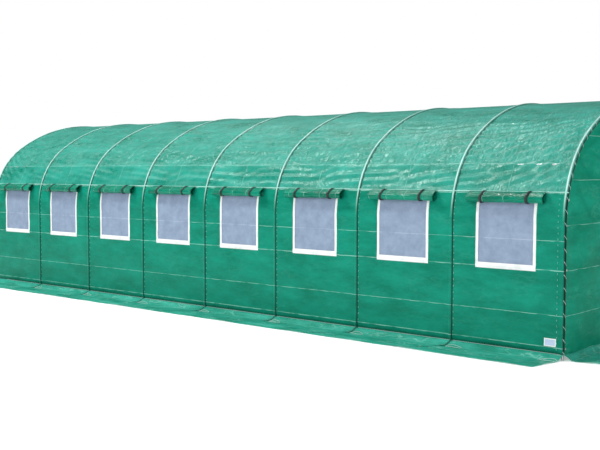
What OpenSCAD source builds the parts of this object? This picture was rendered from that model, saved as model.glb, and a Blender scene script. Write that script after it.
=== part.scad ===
// Polytunnel greenhouse: galvanised tube hoops and rails under a green woven cover,
// with a roll-up net window in every bay and a roll-up doorway in each end.
// Millimetres. X runs along the tunnel (front end at +X), Y across it, Z up from the ground.
// The origin is on the ground at the middle of the footprint.

/* [Tunnel] */
// Number of bays between hoops
bays = 8; // [3:1:9]
// Distance from hoop to hoop
bay_length = 1000; // [800:10:1200]
// Width over the cover at the ground
width = 3000; // [2400:10:3600]
// Height at which the legs end and the arch starts
leg_height = 1050; // [900:10:1150]
// Height over the cover at the ridge
ridge_height = 2100; // [2000:10:2300]
// Angle above the horizontal where the shoulder bend becomes the flatter crown bend
shoulder_angle = 55; // [50:1:60]

/* [Frame] */
// Diameter of the hoop tube
hoop_d = 25; // [20:1:32]
// Diameter of the rail tube
rail_d = 19; // [16:1:22]
// Height of the eave rails, where the roof cover meets the walls
eave_height = 1300; // [1250:5:1350]
// Height of the rails at the window sills
sill_height = 700; // [600:5:800]
// Height of the base rails
base_rail_height = 75; // [70:5:120]
// Angle above the horizontal of the roof purlins
purlin_angle = 34; // [30:1:45]

/* [Cover] */
// Thickness of the cover
cover_t = 3; // [2:0.5:5]
// Height at which the skirt leaves the wall
skirt_height = 45; // [40:5:70]
// Distance from the wall at which the skirt reaches the ground
skirt_fall = 70; // [50:5:100]
// Distance from the wall to the outer edge of the skirt
skirt_spread = 380; // [300:10:450]
// Diameter of the lacing cord round each end
lacing_d = 6; // [4:1:8]

/* [Windows] */
// Width of a window opening
window_width = 515; // [400:5:560]
// Width of the white tape at the sides of a window
tape_width = 25; // [20:1:34]
// Width of the white tape at the sill of a window
sill_tape_width = 46; // [36:1:60]
// Thickness of the tape
tape_t = 1.5; // [1:0.5:3]
// Thickness of the window net
net_t = 1.5; // [1:0.5:2]
// Length of a rolled-up window flap
flap_length = 680; // [600:10:720]
// Diameter of a rolled-up window flap
flap_d = 70; // [50:1:76]
// Depth from the eave to the middle of a rolled-up window flap
flap_drop = 58; // [50:1:70]

/* [Doors] */
// Width of a doorway
door_width = 900; // [700:10:1000]
// Height of a doorway
door_height = 1720; // [1600:10:1760]
// Diameter of the rolled-up door
door_roll_d = 84; // [70:1:90]
// Overlap of a closed door over each side of its doorway
door_overlap = 45; // [30:5:60]
// Width of a zip tape
zip_width = 30; // [20:1:40]

/* [Straps and label] */
// Width of a strap
strap_width = 24; // [16:1:30]
// Thickness of a strap
strap_t = 3; // [2:0.5:4]
// Width of the label
label_width = 100; // [60:5:120]
// Height of the label
label_height = 63; // [40:1:80]

/* [Hidden] */
$fn = 64;

touch = 0.3;      // gap between pieces that lie against each other
bracket_t = 3;    // plate thickness of a rail bracket
bracket_w = 22;
bracket_l = 90;
arc_step = 5;     // degrees between the points of an end wall's edge
shoulder_strips = 2;
crown_strips = 5;
steel = [0.72, 0.74, 0.75];
green = [0.05, 0.55, 0.42];
white = [0.93, 0.94, 0.95];
net_blue = [0.66, 0.72, 0.83];
black = [0.05, 0.05, 0.05];

length = bays * bay_length;
half_w = width / 2;
rise = ridge_height - leg_height;
// The arch has three centres: two small shoulder bends and one large crown bend, tangent to each other
bend_gap = (half_w - rise) / (sin(shoulder_angle) + cos(shoulder_angle) - 1);
shoulder_y = bend_gap * cos(shoulder_angle);
shoulder_r = half_w - shoulder_y;
crown_r = shoulder_r + bend_gap;
crown_z = ridge_height - crown_r;
eave_angle = asin((eave_height - leg_height) / shoulder_r);

hoop_inset = cover_t + touch + hoop_d / 2;           // from the outside of the cover to the hoop's centre line
hoop_inner = hoop_inset + hoop_d / 2;
end_x = length / 2 + hoop_d / 2 + touch + cover_t;   // outside of an end wall
door_half = door_width / 2;
post_y = door_half + rail_d / 2 + 10;
wall_edge_angle = acos(door_half / (crown_r - cover_t - touch));

function hoop_x(n) = -length / 2 + n * bay_length;
function bay_x(n) = hoop_x(n) + bay_length / 2;
// A point of the arch at an angle above the horizontal, moved out by off: [across, up]
function arch(a, off = 0) =
    a <= shoulder_angle ? [shoulder_y + (shoulder_r + off) * cos(a), leg_height + (shoulder_r + off) * sin(a)]
    : a <= 180 - shoulder_angle ? [(crown_r + off) * cos(a), crown_z + (crown_r + off) * sin(a)]
    : [-arch(180 - a, off)[0], arch(180 - a, off)[1]];

// Stands a drawing of the cross-section up: x becomes across, y becomes up, and it is as long as len along X
module section(x0, len) {
    translate([x0, 0, 0]) rotate([90, 0, 90]) linear_extrude(len) children();
}

// A bent strip or tube between two angles of one bend, from a drawing whose x is the distance from the bend's centre
module bend(centre, a0, a1, x0) {
    translate([x0, centre[0], centre[1]]) rotate([90, 0, 90]) rotate([0, 0, a0])
        rotate_extrude(angle = a1 - a0, $fn = 180) children();
}

// The right side is drawn at +Y, and the left side mirrors it
module on_side(side) {
    if (side == "left") mirror([0, 1, 0]) children();
    else children();
}

module at_back() {
    mirror([1, 0, 0]) children();
}

// ---- Frame ----

// The bent part of a hoop or cord: a shoulder bend each side and the crown, end to end
module arch_tube(inset, d, x) {
    shoulder_trim = touch / shoulder_r * 90 / PI;
    crown_trim = touch / crown_r * 90 / PI;
    for (side = ["left", "right"]) on_side(side)
        bend([shoulder_y, leg_height], shoulder_trim, shoulder_angle - shoulder_trim, x)
            translate([shoulder_r - inset, 0]) circle(d = d);
    bend([0, crown_z], shoulder_angle + crown_trim, 180 - shoulder_angle - crown_trim, x)
        translate([crown_r - inset, 0]) circle(d = d);
}

module legs(inset, d, x, z0) {
    for (side = ["left", "right"]) on_side(side)
        translate([x, half_w - inset, z0]) cylinder(d = d, h = leg_height - touch / 2 - z0);
}

// One hoop is five lengths of tube, pushed together end to end: two legs, two shoulders and a crown
module hoop(n) {
    color(steel) {
        legs(hoop_inset, hoop_d, hoop_x(n - 1), 0);
        arch_tube(hoop_inset, hoop_d, hoop_x(n - 1));
    }
}

// One rail is a row of tubes, each between two hoops and level with them
module rail(y, z) {
    gap = hoop_d / 2 + touch;
    color(steel) for (n = [0 : bays - 1])
        translate([hoop_x(n) + gap, y, z]) rotate([0, 90, 0]) cylinder(d = rail_d, h = bay_length - 2 * gap);
}

module pair_of_rails(p) {
    rail(p[0], p[1]);
    rail(-p[0], p[1]);
}

// A plate on the inner side of a hoop, with a pad under each rail end
module bracket(first, last) {
    seat = hoop_d / 2 + touch;
    pad_h = seat - rail_d / 2 - touch;
    reach = bracket_l / 2;
    pad_l = 20;
    x0 = first ? -hoop_d / 2 : -reach;
    x1 = last ? hoop_d / 2 : reach;
    translate([x0, -bracket_w / 2, -seat - bracket_t]) cube([x1 - x0, bracket_w, bracket_t]);
    if (!first) translate([-reach, -bracket_w / 2, -seat]) cube([pad_l, bracket_w, pad_h]);
    if (!last) translate([reach - pad_l, -bracket_w / 2, -seat]) cube([pad_l, bracket_w, pad_h]);
}

module brackets_at(angle, p) {
    for (n = [0 : bays]) translate([hoop_x(n), p[0], p[1]]) rotate([angle - 90, 0, 0])
        bracket(n == 0, n == bays);
}

module rail_brackets() {
    color(steel) {
        brackets_at(90, [0, ridge_height - hoop_inset]);
        for (side = ["left", "right"]) on_side(side) {
            brackets_at(purlin_angle, arch(purlin_angle, -hoop_inset));
            brackets_at(eave_angle, arch(eave_angle, -hoop_inset));
            brackets_at(0, [half_w - hoop_inset, sill_height]);
            brackets_at(0, [half_w - hoop_inset, base_rail_height]);
        }
    }
}

// Door posts, door head and the short rails of one end
module end_frame() {
    inner_r = crown_r - hoop_inner;
    post_top = crown_z + sqrt(pow(inner_r, 2) - pow(post_y + rail_d / 2, 2)) - touch;
    rail_y0 = post_y + rail_d / 2 + touch;
    rail_y1 = half_w - hoop_inner - bracket_t - 2 * touch;
    color(steel) translate([length / 2, 0, 0]) {
        for (side = ["left", "right"]) on_side(side) {
            translate([0, post_y, 0]) cylinder(d = rail_d, h = post_top);
            for (z = [sill_height, base_rail_height])
                translate([0, rail_y0, z]) rotate([-90, 0, 0]) cylinder(d = rail_d, h = rail_y1 - rail_y0);
        }
        translate([0, -(post_y - rail_d / 2 - touch), door_height + rail_d]) rotate([-90, 0, 0])
            cylinder(d = rail_d, h = 2 * (post_y - rail_d / 2 - touch));
    }
}

// ---- Cover ----

// A strip of cover along the whole tunnel between two angles of one bend
module cover_strip(centre, r, a0, a1) {
    trim = touch / r * 90 / PI;
    bend(centre, a0 + trim, a1 - trim, -end_x) translate([r - cover_t, 0]) square([cover_t, 2 * end_x]);
}

module roof_cover() {
    shoulder_step = (shoulder_angle - eave_angle) / shoulder_strips;
    crown_step = (180 - 2 * shoulder_angle) / crown_strips;
    color(green) {
        for (side = ["left", "right"], i = [0 : shoulder_strips - 1]) on_side(side)
            cover_strip([shoulder_y, leg_height], shoulder_r,
                        eave_angle + i * shoulder_step, eave_angle + (i + 1) * shoulder_step);
        for (i = [0 : crown_strips - 1])
            cover_strip([0, crown_z], crown_r,
                        shoulder_angle + i * crown_step, shoulder_angle + (i + 1) * crown_step);
    }
}

// A piece of wall from the window sill to the eave: straight to the top of the leg, then bent with the hoop
module upper_wall(x0, x1, z0, t, inset) {
    translate([x0, half_w - inset - t, z0]) cube([x1 - x0, t, leg_height - z0]);
    trim = touch / shoulder_r * 90 / PI;
    bend([shoulder_y, leg_height], 0, eave_angle - trim, x0)
        translate([shoulder_r - inset - t, 0]) square([t, x1 - x0]);
}

module side_wall() {
    color(green) {
        translate([-end_x, half_w - cover_t, skirt_height]) cube([2 * end_x, cover_t, sill_height - skirt_height - touch]);
        for (n = [0 : bays]) {
            x0 = n == 0 ? -end_x : bay_x(n - 1) + window_width / 2;
            x1 = n == bays ? end_x : bay_x(n) - window_width / 2;
            upper_wall(x0, x1, sill_height, cover_t, 0);
        }
    }
}

// One side of an end wall, from the doorway to the corner
module end_wall_side() {
    inset = -cover_t - touch;
    edge = [for (a = [0 : arc_step : wall_edge_angle]) arch(a, inset)];
    polygon(concat([[door_half, skirt_height], [half_w + inset, skirt_height]], edge,
                   [arch(wall_edge_angle, inset), [door_half, door_height]]));
}

// The part over the doorway, between the two sides
module end_wall_head() {
    inset = -cover_t - touch;
    a0 = wall_edge_angle + touch;
    points = 6;
    edge = [for (i = [0 : points]) arch(a0 + (180 - 2 * a0) * i / points, inset)];
    side = edge[0][0];
    polygon(concat([[-side, door_height], [side, door_height]], edge));
}

module end_wall() {
    color(green) {
        for (side = ["left", "right"]) on_side(side) section(end_x - cover_t, cover_t) end_wall_side();
        section(end_x - cover_t, cover_t) end_wall_head();
    }
}

// A skirt falls from the foot of its wall and then lies flat on the ground
module skirt_drawing() {
    top = skirt_height - touch;
    polygon([[-cover_t, top - cover_t], [-cover_t, top], [0, top], [skirt_fall, cover_t],
             [skirt_spread, cover_t], [skirt_spread, 0], [skirt_fall, 0]]);
}

module side_skirt() {
    color(green) section(-end_x, 2 * end_x) translate([half_w, 0]) skirt_drawing();
}

// An end skirt is in two pieces, one on each side of the doorway
module end_skirt() {
    corner = half_w - cover_t - touch;
    color(green) for (side = ["left", "right"]) on_side(side)
        translate([end_x, corner, 0]) rotate([90, 0, 0]) linear_extrude(corner - door_half) skirt_drawing();
}

// The lacing lies on the end of the cover, over the joint between the end wall and the rest, in five lengths
module end_lacing() {
    x = end_x + touch + lacing_d / 2;
    color(black) {
        legs(lacing_d / 2, lacing_d, x, skirt_height);
        arch_tube(lacing_d / 2, lacing_d, x);
    }
}

// ---- Windows ----

module window_nets() {
    inset = (cover_t - net_t) / 2;
    color(net_blue) for (n = [0 : bays - 1])
        upper_wall(bay_x(n) - window_width / 2 + touch, bay_x(n) + window_width / 2 - touch,
                   sill_height + touch, net_t, inset);
}

// White tape over the raw edges of a window, half on the cover and half on the net
module window_tapes() {
    color(white) for (n = [0 : bays - 1]) {
        outer = window_width / 2 + tape_width / 2;
        for (x = [-outer, outer - tape_width])
            upper_wall(bay_x(n) + x, bay_x(n) + x + tape_width, sill_height, tape_t, -tape_t);
        translate([bay_x(n) - outer, half_w, sill_height - sill_tape_width / 2])
            cube([2 * outer, tape_t, sill_tape_width]);
    }
}

flap_z = eave_height - flap_drop;
flap_y = shoulder_y + sqrt(pow(shoulder_r, 2) - pow(flap_z - leg_height, 2)) + tape_t + strap_t + flap_d / 2 + 2 * touch;

// The part of a window flap or strap that hangs from the eave seam, out to the middle of the roll
module hanger(from, to) {
    seam = arch(eave_angle, tape_t + 2 * touch);
    polygon([seam + [from, 0], seam + [to, 0], [flap_y + to, flap_z], [flap_y + from, flap_z]]);
}

// A window flap hangs from the eave seam and is rolled up under it
module window_flaps() {
    color(green) for (n = [0 : bays - 1]) section(bay_x(n) - flap_length / 2, flap_length) {
        translate([flap_y, flap_z]) circle(d = flap_d);
        hanger(0, cover_t);
    }
}

// A strap comes from the eave seam and goes once round the rolled flap
module flap_straps() {
    strap_at = flap_length * 0.3;
    color(black) for (n = [0 : bays - 1], x = [-strap_at, strap_at])
        section(bay_x(n) + x - strap_width / 2, strap_width) difference() {
            union() {
                translate([flap_y, flap_z]) circle(d = flap_d + 2 * touch + 2 * strap_t);
                hanger(cover_t + touch, cover_t + touch + strap_t);
            }
            translate([flap_y, flap_z]) circle(d = flap_d + 2 * touch);
            hanger(-touch, cover_t + touch);
        }
}

// ---- Doors ----

door_roll_z = door_height + 90;
door_roll_x = end_x + strap_t + 2 * touch + door_roll_d / 2;

// The drawings of a rolled door are of the tunnel's long section: x is along the tunnel, y is up
module long_section(y0, len) {
    translate([0, y0 + len, 0]) rotate([90, 0, 0]) linear_extrude(len) children();
}

module door_hanger(t) {
    top = door_roll_z + 70;
    polygon([[end_x + touch, top], [end_x + touch + t, top], [door_roll_x + t, door_roll_z], [door_roll_x, door_roll_z]]);
}

module front_door_flap() {
    len = door_width + 2 * door_overlap;
    color(green) long_section(-len / 2, len) {
        translate([door_roll_x, door_roll_z]) circle(d = door_roll_d);
        door_hanger(cover_t);
    }
}

module front_door_straps() {
    color(black) for (y = [-0.3, 0.3] * door_width) long_section(y - strap_width / 2, strap_width) difference() {
        union() {
            translate([door_roll_x, door_roll_z]) circle(d = door_roll_d + 2 * touch + 2 * strap_t);
            translate([cover_t + touch, 0]) door_hanger(strap_t);
        }
        translate([door_roll_x, door_roll_z]) circle(d = door_roll_d + 2 * touch);
        door_hanger(cover_t + touch);
    }
}

// Half of a zip on each side of the doorway
module doorway_zips(x) {
    color(black) for (side = ["left", "right"]) on_side(side)
        translate([x, door_half, skirt_height]) cube([tape_t, zip_width, door_height - skirt_height]);
}

// A closed door covers its doorway and laps over the wall round it
module closed_door() {
    color(green) translate([end_x + touch, -door_half - door_overlap, skirt_height])
        cube([cover_t, door_width + 2 * door_overlap, door_height + door_overlap - skirt_height]);
}

module label() {
    color(white) translate([length / 2 - 50 - label_width, -half_w - tape_t - touch, base_rail_height + 25])
        cube([label_width, tape_t, label_height]);
}

// ---- Nodes ----

for (n = [1 : bays + 1]) hoop(n);
rail(0, ridge_height - hoop_inset);  // ridge_rail
pair_of_rails(arch(purlin_angle, -hoop_inset));  // roof_purlins
pair_of_rails(arch(eave_angle, -hoop_inset));  // eave_rails
pair_of_rails([half_w - hoop_inset, sill_height]);  // sill_rails
pair_of_rails([half_w - hoop_inset, base_rail_height]);  // base_rails
rail_brackets();
end_frame();  // front_end_frame
at_back() end_frame();  // back_end_frame
roof_cover();
on_side("left") side_wall();  // left_wall
side_wall();  // right_wall
end_wall();  // front_wall
at_back() end_wall();  // back_wall
on_side("left") side_skirt();  // left_skirt
side_skirt();  // right_skirt
end_skirt();  // front_skirt
at_back() end_skirt();  // back_skirt
on_side("left") window_nets();  // left_window_nets
window_nets();  // right_window_nets
on_side("left") window_tapes();  // left_window_tapes
window_tapes();  // right_window_tapes
on_side("left") window_flaps();  // left_window_flaps
window_flaps();  // right_window_flaps
on_side("left") flap_straps();  // left_flap_straps
flap_straps();  // right_flap_straps
front_door_flap();
front_door_straps();
doorway_zips(end_x + touch);  // front_door_zips
at_back() closed_door();  // back_door_flap
at_back() doorway_zips(end_x + cover_t + 2 * touch);  // back_door_zips
end_lacing();  // front_lacing
at_back() end_lacing();  // back_lacing
label();
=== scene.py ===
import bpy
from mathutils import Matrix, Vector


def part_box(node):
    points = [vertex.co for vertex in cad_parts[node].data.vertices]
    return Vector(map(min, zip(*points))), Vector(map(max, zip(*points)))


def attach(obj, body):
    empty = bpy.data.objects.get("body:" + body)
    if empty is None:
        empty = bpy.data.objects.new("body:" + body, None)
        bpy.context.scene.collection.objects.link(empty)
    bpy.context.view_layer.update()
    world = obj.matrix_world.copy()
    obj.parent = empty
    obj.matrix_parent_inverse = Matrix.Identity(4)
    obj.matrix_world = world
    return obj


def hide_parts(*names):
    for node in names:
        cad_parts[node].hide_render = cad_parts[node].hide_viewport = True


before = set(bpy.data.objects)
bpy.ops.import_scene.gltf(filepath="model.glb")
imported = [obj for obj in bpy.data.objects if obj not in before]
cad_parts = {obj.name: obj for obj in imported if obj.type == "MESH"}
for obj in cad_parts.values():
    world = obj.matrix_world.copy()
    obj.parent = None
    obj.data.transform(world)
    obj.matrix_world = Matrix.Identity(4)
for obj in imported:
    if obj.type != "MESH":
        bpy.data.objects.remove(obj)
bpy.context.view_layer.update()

import math

import bpy
import numpy as np


# ---- Studio ----
# A plain pale floor, a bright even surround and five soft lights. The camera stands off the front
# corner of the left wall, a little above the height of the eaves.
scene = bpy.context.scene
scene.view_settings.view_transform = "Standard"

camera = bpy.data.objects.new("camera", bpy.data.cameras.new("camera"))
camera.data.sensor_width = 36.0
camera.data.lens = 56.46
camera.data.clip_end = 200.0
camera.location = (7.194, -8.252, 1.463)
camera.rotation_euler = (math.radians(90 - 3.28), 0.0, math.radians(40.99))
scene.collection.objects.link(camera)
scene.camera = camera


def add_node(tree, kind, **settings):
    """Adds one shader node of the given kind, with the given properties."""
    made = tree.nodes.new(kind)
    for key, value in settings.items():
        setattr(made, key, value)
    return made


def new_material(name):
    """An empty node material: returns it, its node tree and its Principled shader."""
    made = bpy.data.materials.new(name)
    made.use_nodes = True
    return made, made.node_tree, made.node_tree.nodes["Principled BSDF"]


surround = bpy.data.worlds.new("surround")
surround.use_nodes = True
scene.world = surround
tree = surround.node_tree
soft_sky = tree.nodes["Background"]
soft_sky.inputs["Color"].default_value = (0.93, 0.97, 1.0, 1.0)
looking = add_node(tree, "ShaderNodeTexCoord")
heading = add_node(tree, "ShaderNodeSeparateXYZ")
sky_rise = add_node(tree, "ShaderNodeMapRange")
sky_rise.inputs["From Min"].default_value = 0.05
sky_rise.inputs["From Max"].default_value = 0.75
sky_rise.inputs["To Min"].default_value = 0.06
sky_rise.inputs["To Max"].default_value = 0.42
tree.links.new(looking.outputs["Generated"], heading.inputs["Vector"])
tree.links.new(heading.outputs["Z"], sky_rise.inputs["Value"])
tree.links.new(sky_rise.outputs["Result"], soft_sky.inputs["Strength"])
backdrop = add_node(tree, "ShaderNodeBackground")
backdrop.inputs["Color"].default_value = (1.0, 1.0, 1.0, 1.0)
seen_directly = add_node(tree, "ShaderNodeLightPath")
choose = add_node(tree, "ShaderNodeMixShader")
tree.links.new(seen_directly.outputs["Is Camera Ray"], choose.inputs["Fac"])
tree.links.new(soft_sky.outputs["Background"], choose.inputs[1])
tree.links.new(backdrop.outputs["Background"], choose.inputs[2])
tree.links.new(choose.outputs["Shader"], tree.nodes["World Output"].inputs["Surface"])


def soft_light(name, place, aim, size, power, tint=(1.0, 1.0, 1.0)):
    """A square area light at place, turned to face the point aim."""
    light = bpy.data.lights.new(name, "AREA")
    light.shape = "SQUARE"
    light.size = size
    light.energy = power
    light.color = tint
    lamp = bpy.data.objects.new(name, light)
    lamp.location = place
    way = np.array(aim) - np.array(place)
    tilt = math.acos(-way[2] / np.linalg.norm(way))
    lamp.rotation_euler = (tilt, 0.0, math.atan2(way[1], way[0]) - math.pi / 2)
    scene.collection.objects.link(lamp)


soft_light("key", (-5.2, -6.0, 11.0), (1.0, 0.0, 1.0), 2.6, 1000.0, (1.0, 0.99, 0.96))
soft_light("front_fill", (3.6, -13.5, 5.5), (0.4, 0.0, 0.7), 7.0, 645.0)
soft_light("sheen", (-5.0, 3.0, 11.5), (0.5, -0.8, 1.6), 4.0, 230.0)
soft_light("glint", (0.1, 0.2, 8.6), (3.6, -1.1, 1.6), 0.8, 95.0)
soft_light("end_fill", (13.5, -2.0, 5.0), (4.0, 0.0, 0.9), 4.0, 300.0)

floor_reach = 30.0
floor_mesh = bpy.data.meshes.new("floor")
floor_corners = [(across * floor_reach, along * floor_reach, 0.0)
                 for across, along in ((-1, -1), (1, -1), (1, 1), (-1, 1))]
floor_mesh.from_pydata(floor_corners, [], [(0, 1, 2, 3)])
floor = bpy.data.objects.new("floor", floor_mesh)
scene.collection.objects.link(floor)
floor_paint, tree, shader = new_material("pale_floor")
mottle = add_node(tree, "ShaderNodeTexNoise")
mottle.inputs["Scale"].default_value = 0.6
spread = add_node(tree, "ShaderNodeMapRange")
spread.inputs["To Min"].default_value = 0.93
spread.inputs["To Max"].default_value = 0.96
where = add_node(tree, "ShaderNodeTexCoord")
tree.links.new(where.outputs["Object"], mottle.inputs["Vector"])
tree.links.new(mottle.outputs["Fac"], spread.inputs["Value"])
tree.links.new(spread.outputs["Result"], shader.inputs["Base Color"])
shader.inputs["Roughness"].default_value = 0.9
shader.inputs["Emission Color"].default_value = (1.0, 1.0, 1.0, 1.0)
shader.inputs["Emission Strength"].default_value = 0.32
floor_mesh.materials.append(floor_paint)


# ---- Tubes, rails and end frames ----
# Thin-walled steel tube, hot-dip galvanised: dull grey with a faint spangle of zinc crystals, and short
# scuffs along the tube where lengths were pushed together. The CAD shapes are shown as they are.
def new_group(name, inputs, outputs):
    """An empty shader node group with the named inputs (name, kind, value) and outputs (name, kind)."""
    group = bpy.data.node_groups.new(name, "ShaderNodeTree")
    for label, kind, value in inputs:
        socket = group.interface.new_socket(label, in_out="INPUT", socket_type="NodeSocket" + kind)
        if value is not None:
            socket.default_value = value
    for label, kind in outputs:
        group.interface.new_socket(label, in_out="OUTPUT", socket_type="NodeSocket" + kind)
    return group, add_node(group, "NodeGroupInput"), add_node(group, "NodeGroupOutput")


def place_group(tree, group, **values):
    """Puts a node group into a material and sets its inputs by name."""
    made = add_node(tree, "ShaderNodeGroup", node_tree=group)
    for label, value in values.items():
        made.inputs[label.replace("_", " ")].default_value = value
    return made


zinc, into, out = new_group(
    "zinc_coat",
    [("Vector", "Vector", None), ("Crystal", "Float", 0.012), ("Scuff", "Float", 0.4)],
    [("Tone", "Float"), ("Wear", "Float"), ("Height", "Float")])
crystals_per_metre = add_node(zinc, "ShaderNodeMath", operation="DIVIDE")
crystals_per_metre.inputs[0].default_value = 1.0
crystals = add_node(zinc, "ShaderNodeTexVoronoi")
grain = add_node(zinc, "ShaderNodeTexNoise")
grain.inputs["Scale"].default_value = 900.0
streak_shape = add_node(zinc, "ShaderNodeMapping")
streak_shape.inputs["Scale"].default_value = (12.0, 60.0, 60.0)
streaks = add_node(zinc, "ShaderNodeTexNoise")
streaks.inputs["Scale"].default_value = 1.0
streaks.inputs["Detail"].default_value = 6.0
streak_cut = add_node(zinc, "ShaderNodeMapRange")
streak_cut.inputs["From Min"].default_value = 0.58
streak_cut.inputs["From Max"].default_value = 0.72
wear = add_node(zinc, "ShaderNodeMath", operation="MULTIPLY")
crystal_tone = add_node(zinc, "ShaderNodeSeparateColor")
zinc.links.new(into.outputs["Crystal"], crystals_per_metre.inputs[1])
zinc.links.new(crystals_per_metre.outputs[0], crystals.inputs["Scale"])
for texture in (crystals, grain, streak_shape):
    zinc.links.new(into.outputs["Vector"], texture.inputs["Vector"])
zinc.links.new(streak_shape.outputs["Vector"], streaks.inputs["Vector"])
zinc.links.new(streaks.outputs["Fac"], streak_cut.inputs["Value"])
zinc.links.new(streak_cut.outputs["Result"], wear.inputs[0])
zinc.links.new(into.outputs["Scuff"], wear.inputs[1])
zinc.links.new(crystals.outputs["Color"], crystal_tone.inputs["Color"])
zinc.links.new(crystal_tone.outputs["Red"], out.inputs["Tone"])
zinc.links.new(wear.outputs[0], out.inputs["Wear"])
zinc.links.new(grain.outputs["Fac"], out.inputs["Height"])


def zinc_material(name, dark, light, crystal, roughness):
    """Galvanised steel between two greys, with crystals of the given size in metres."""
    made, tree, shader = new_material(name)
    where = add_node(tree, "ShaderNodeTexCoord")
    coat = place_group(tree, zinc, Crystal=crystal)
    tone = add_node(tree, "ShaderNodeMix", data_type="RGBA")
    tone.inputs["A"].default_value = (*dark, 1.0)
    tone.inputs["B"].default_value = (*light, 1.0)
    dull = add_node(tree, "ShaderNodeMapRange")
    dull.inputs["To Min"].default_value = roughness
    dull.inputs["To Max"].default_value = roughness + 0.25
    bump = add_node(tree, "ShaderNodeBump")
    bump.inputs["Strength"].default_value = 0.15
    bump.inputs["Distance"].default_value = 0.0003
    tree.links.new(where.outputs["Object"], coat.inputs["Vector"])
    tree.links.new(coat.outputs["Tone"], tone.inputs["Factor"])
    tree.links.new(tone.outputs["Result"], shader.inputs["Base Color"])
    tree.links.new(coat.outputs["Wear"], dull.inputs["Value"])
    tree.links.new(dull.outputs["Result"], shader.inputs["Roughness"])
    tree.links.new(coat.outputs["Height"], bump.inputs["Height"])
    tree.links.new(bump.outputs["Normal"], shader.inputs["Normal"])
    shader.inputs["Metallic"].default_value = 0.85
    return made


def finish_node(name, material):
    """Gives a CAD node its material."""
    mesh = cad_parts[name].data
    mesh.materials.clear()
    mesh.materials.append(material)


tube_zinc = zinc_material("galvanised_tube", (0.42, 0.44, 0.46), (0.62, 0.64, 0.65), 0.010, 0.34)
plate_zinc = zinc_material("galvanised_plate", (0.36, 0.38, 0.40), (0.56, 0.58, 0.60), 0.006, 0.42)
hoop_names = sorted(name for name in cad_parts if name.startswith("hoop_"))
for name in hoop_names + ["ridge_rail", "roof_purlins", "eave_rails", "sill_rails", "base_rails",
                          "front_end_frame", "back_end_frame"]:
    finish_node(name, tube_zinc)
finish_node("rail_brackets", plate_zinc)


# ---- Cover cloth: the shape that every green sheet follows ----
# The cover is woven polyethylene sheet, pulled tight over the hoops and rails. It stands up in a round ridge
# over each hoop, sinks a little between them, and puckers where the hoops bend at the shoulders.
half_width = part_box("right_wall")[1][1]
ridge_height = 2.1
leg_height = 1.05
shoulder_angle = math.radians(55)
rise = ridge_height - leg_height
bend_gap = (half_width - rise) / (math.sin(shoulder_angle) + math.cos(shoulder_angle) - 1)
shoulder_y = bend_gap * math.cos(shoulder_angle)
shoulder_r = half_width - shoulder_y
crown_r = shoulder_r + bend_gap
crown_z = ridge_height - crown_r
eave_height = 1.3
sill_height = 0.7
base_rail_height = 0.075
purlin_angle = math.radians(34)
eave_angle = math.asin((eave_height - leg_height) / shoulder_r)
# The names that end in _s are lengths round the outside of the cover, from the ground.
eave_s = leg_height + shoulder_r * eave_angle
purlin_s = leg_height + shoulder_r * purlin_angle
bend_end_s = leg_height + shoulder_r * shoulder_angle
ridge_s = bend_end_s + crown_r * (math.pi / 2 - shoulder_angle)
rail_lengths = (base_rail_height, sill_height, eave_s, purlin_s, ridge_s)
hoop_x = np.array([sum(corner[0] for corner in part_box(name)) / 2 for name in hoop_names])
bay = hoop_x[1] - hoop_x[0]
end_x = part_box("right_wall")[1][0]


def on_the_arch(s):
    """The outside of the cover at a length s from the ground on the +Y side: up the leg, round the shoulder
    bend, over the crown bend to the ridge, and down the other side as its mirror image. On a bend of radius
    r, y and z are the bend's middle plus r times the cosine and the sine of the angle, which is the length
    along the bend divided by r. Returns y, z and the outward normal (ny, nz)."""
    near = np.minimum(s, 2 * ridge_s - s)
    flip = np.where(s <= ridge_s, 1.0, -1.0)
    bend = np.clip((near - leg_height) / shoulder_r, 0.0, shoulder_angle)
    crown = np.clip((near - bend_end_s) / crown_r, 0.0, None)
    angle = bend + crown
    on_crown = near > bend_end_s
    y = np.where(on_crown, crown_r * np.cos(angle), shoulder_y + shoulder_r * np.cos(angle))
    z = np.where(on_crown, crown_z + crown_r * np.sin(angle), leg_height + shoulder_r * np.sin(angle))
    z = np.where(near < leg_height, near, z)
    return flip * y, z, flip * np.cos(angle), np.sin(angle)


def waves(u, v, u_length, v_length, seed):
    """Even, unrepeating swells between about -1 and 1: the sum of ten sine waves in random directions, whose
    lengths are near u_length along u and v_length along v, divided by five."""
    chance = np.random.default_rng(seed)
    total = np.zeros(np.broadcast(u, v).shape)
    for _ in range(10):
        turn = chance.uniform(-1, 1)
        along = chance.uniform(0.6, 1.5)
        start = chance.uniform(0, 6.28)
        total = total + np.sin(2 * math.pi * (turn * u / u_length + along * v / v_length) + start)
    return total / 5.0


def step(low, high, value):
    """0 below low, 1 above high, and a smooth rise between: 3 t^2 - 2 t^3."""
    t = np.clip((value - low) / (high - low), 0.0, 1.0)
    return t * t * (3 - 2 * t)


def bell(value, middle, width):
    """A bell curve, 1 at the middle and 0.37 a width away: e to the power of -((value - middle) /
    width)^2."""
    return np.exp(-(((value - middle) / width) ** 2))


ridge_width = 0.0155
ridge_lift = 0.011
panel_drop = 0.0055
wall_sag = 0.002
roof_sag = 0.009
pucker_depth = 0.0090
ripple_depth = 0.0014
fold_depth = 0.0044
end_crease_depth = 0.0095
end_crease_gap = 0.094
wall_swell = 0.0017
wall_crumple = 0.0010
foot_groove = 0.008
foot_groove_s = 0.045
foot_fold = 0.004
foot_fold_s = 0.105
rail_mark = 0.0020
corner_r = 0.012


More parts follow.
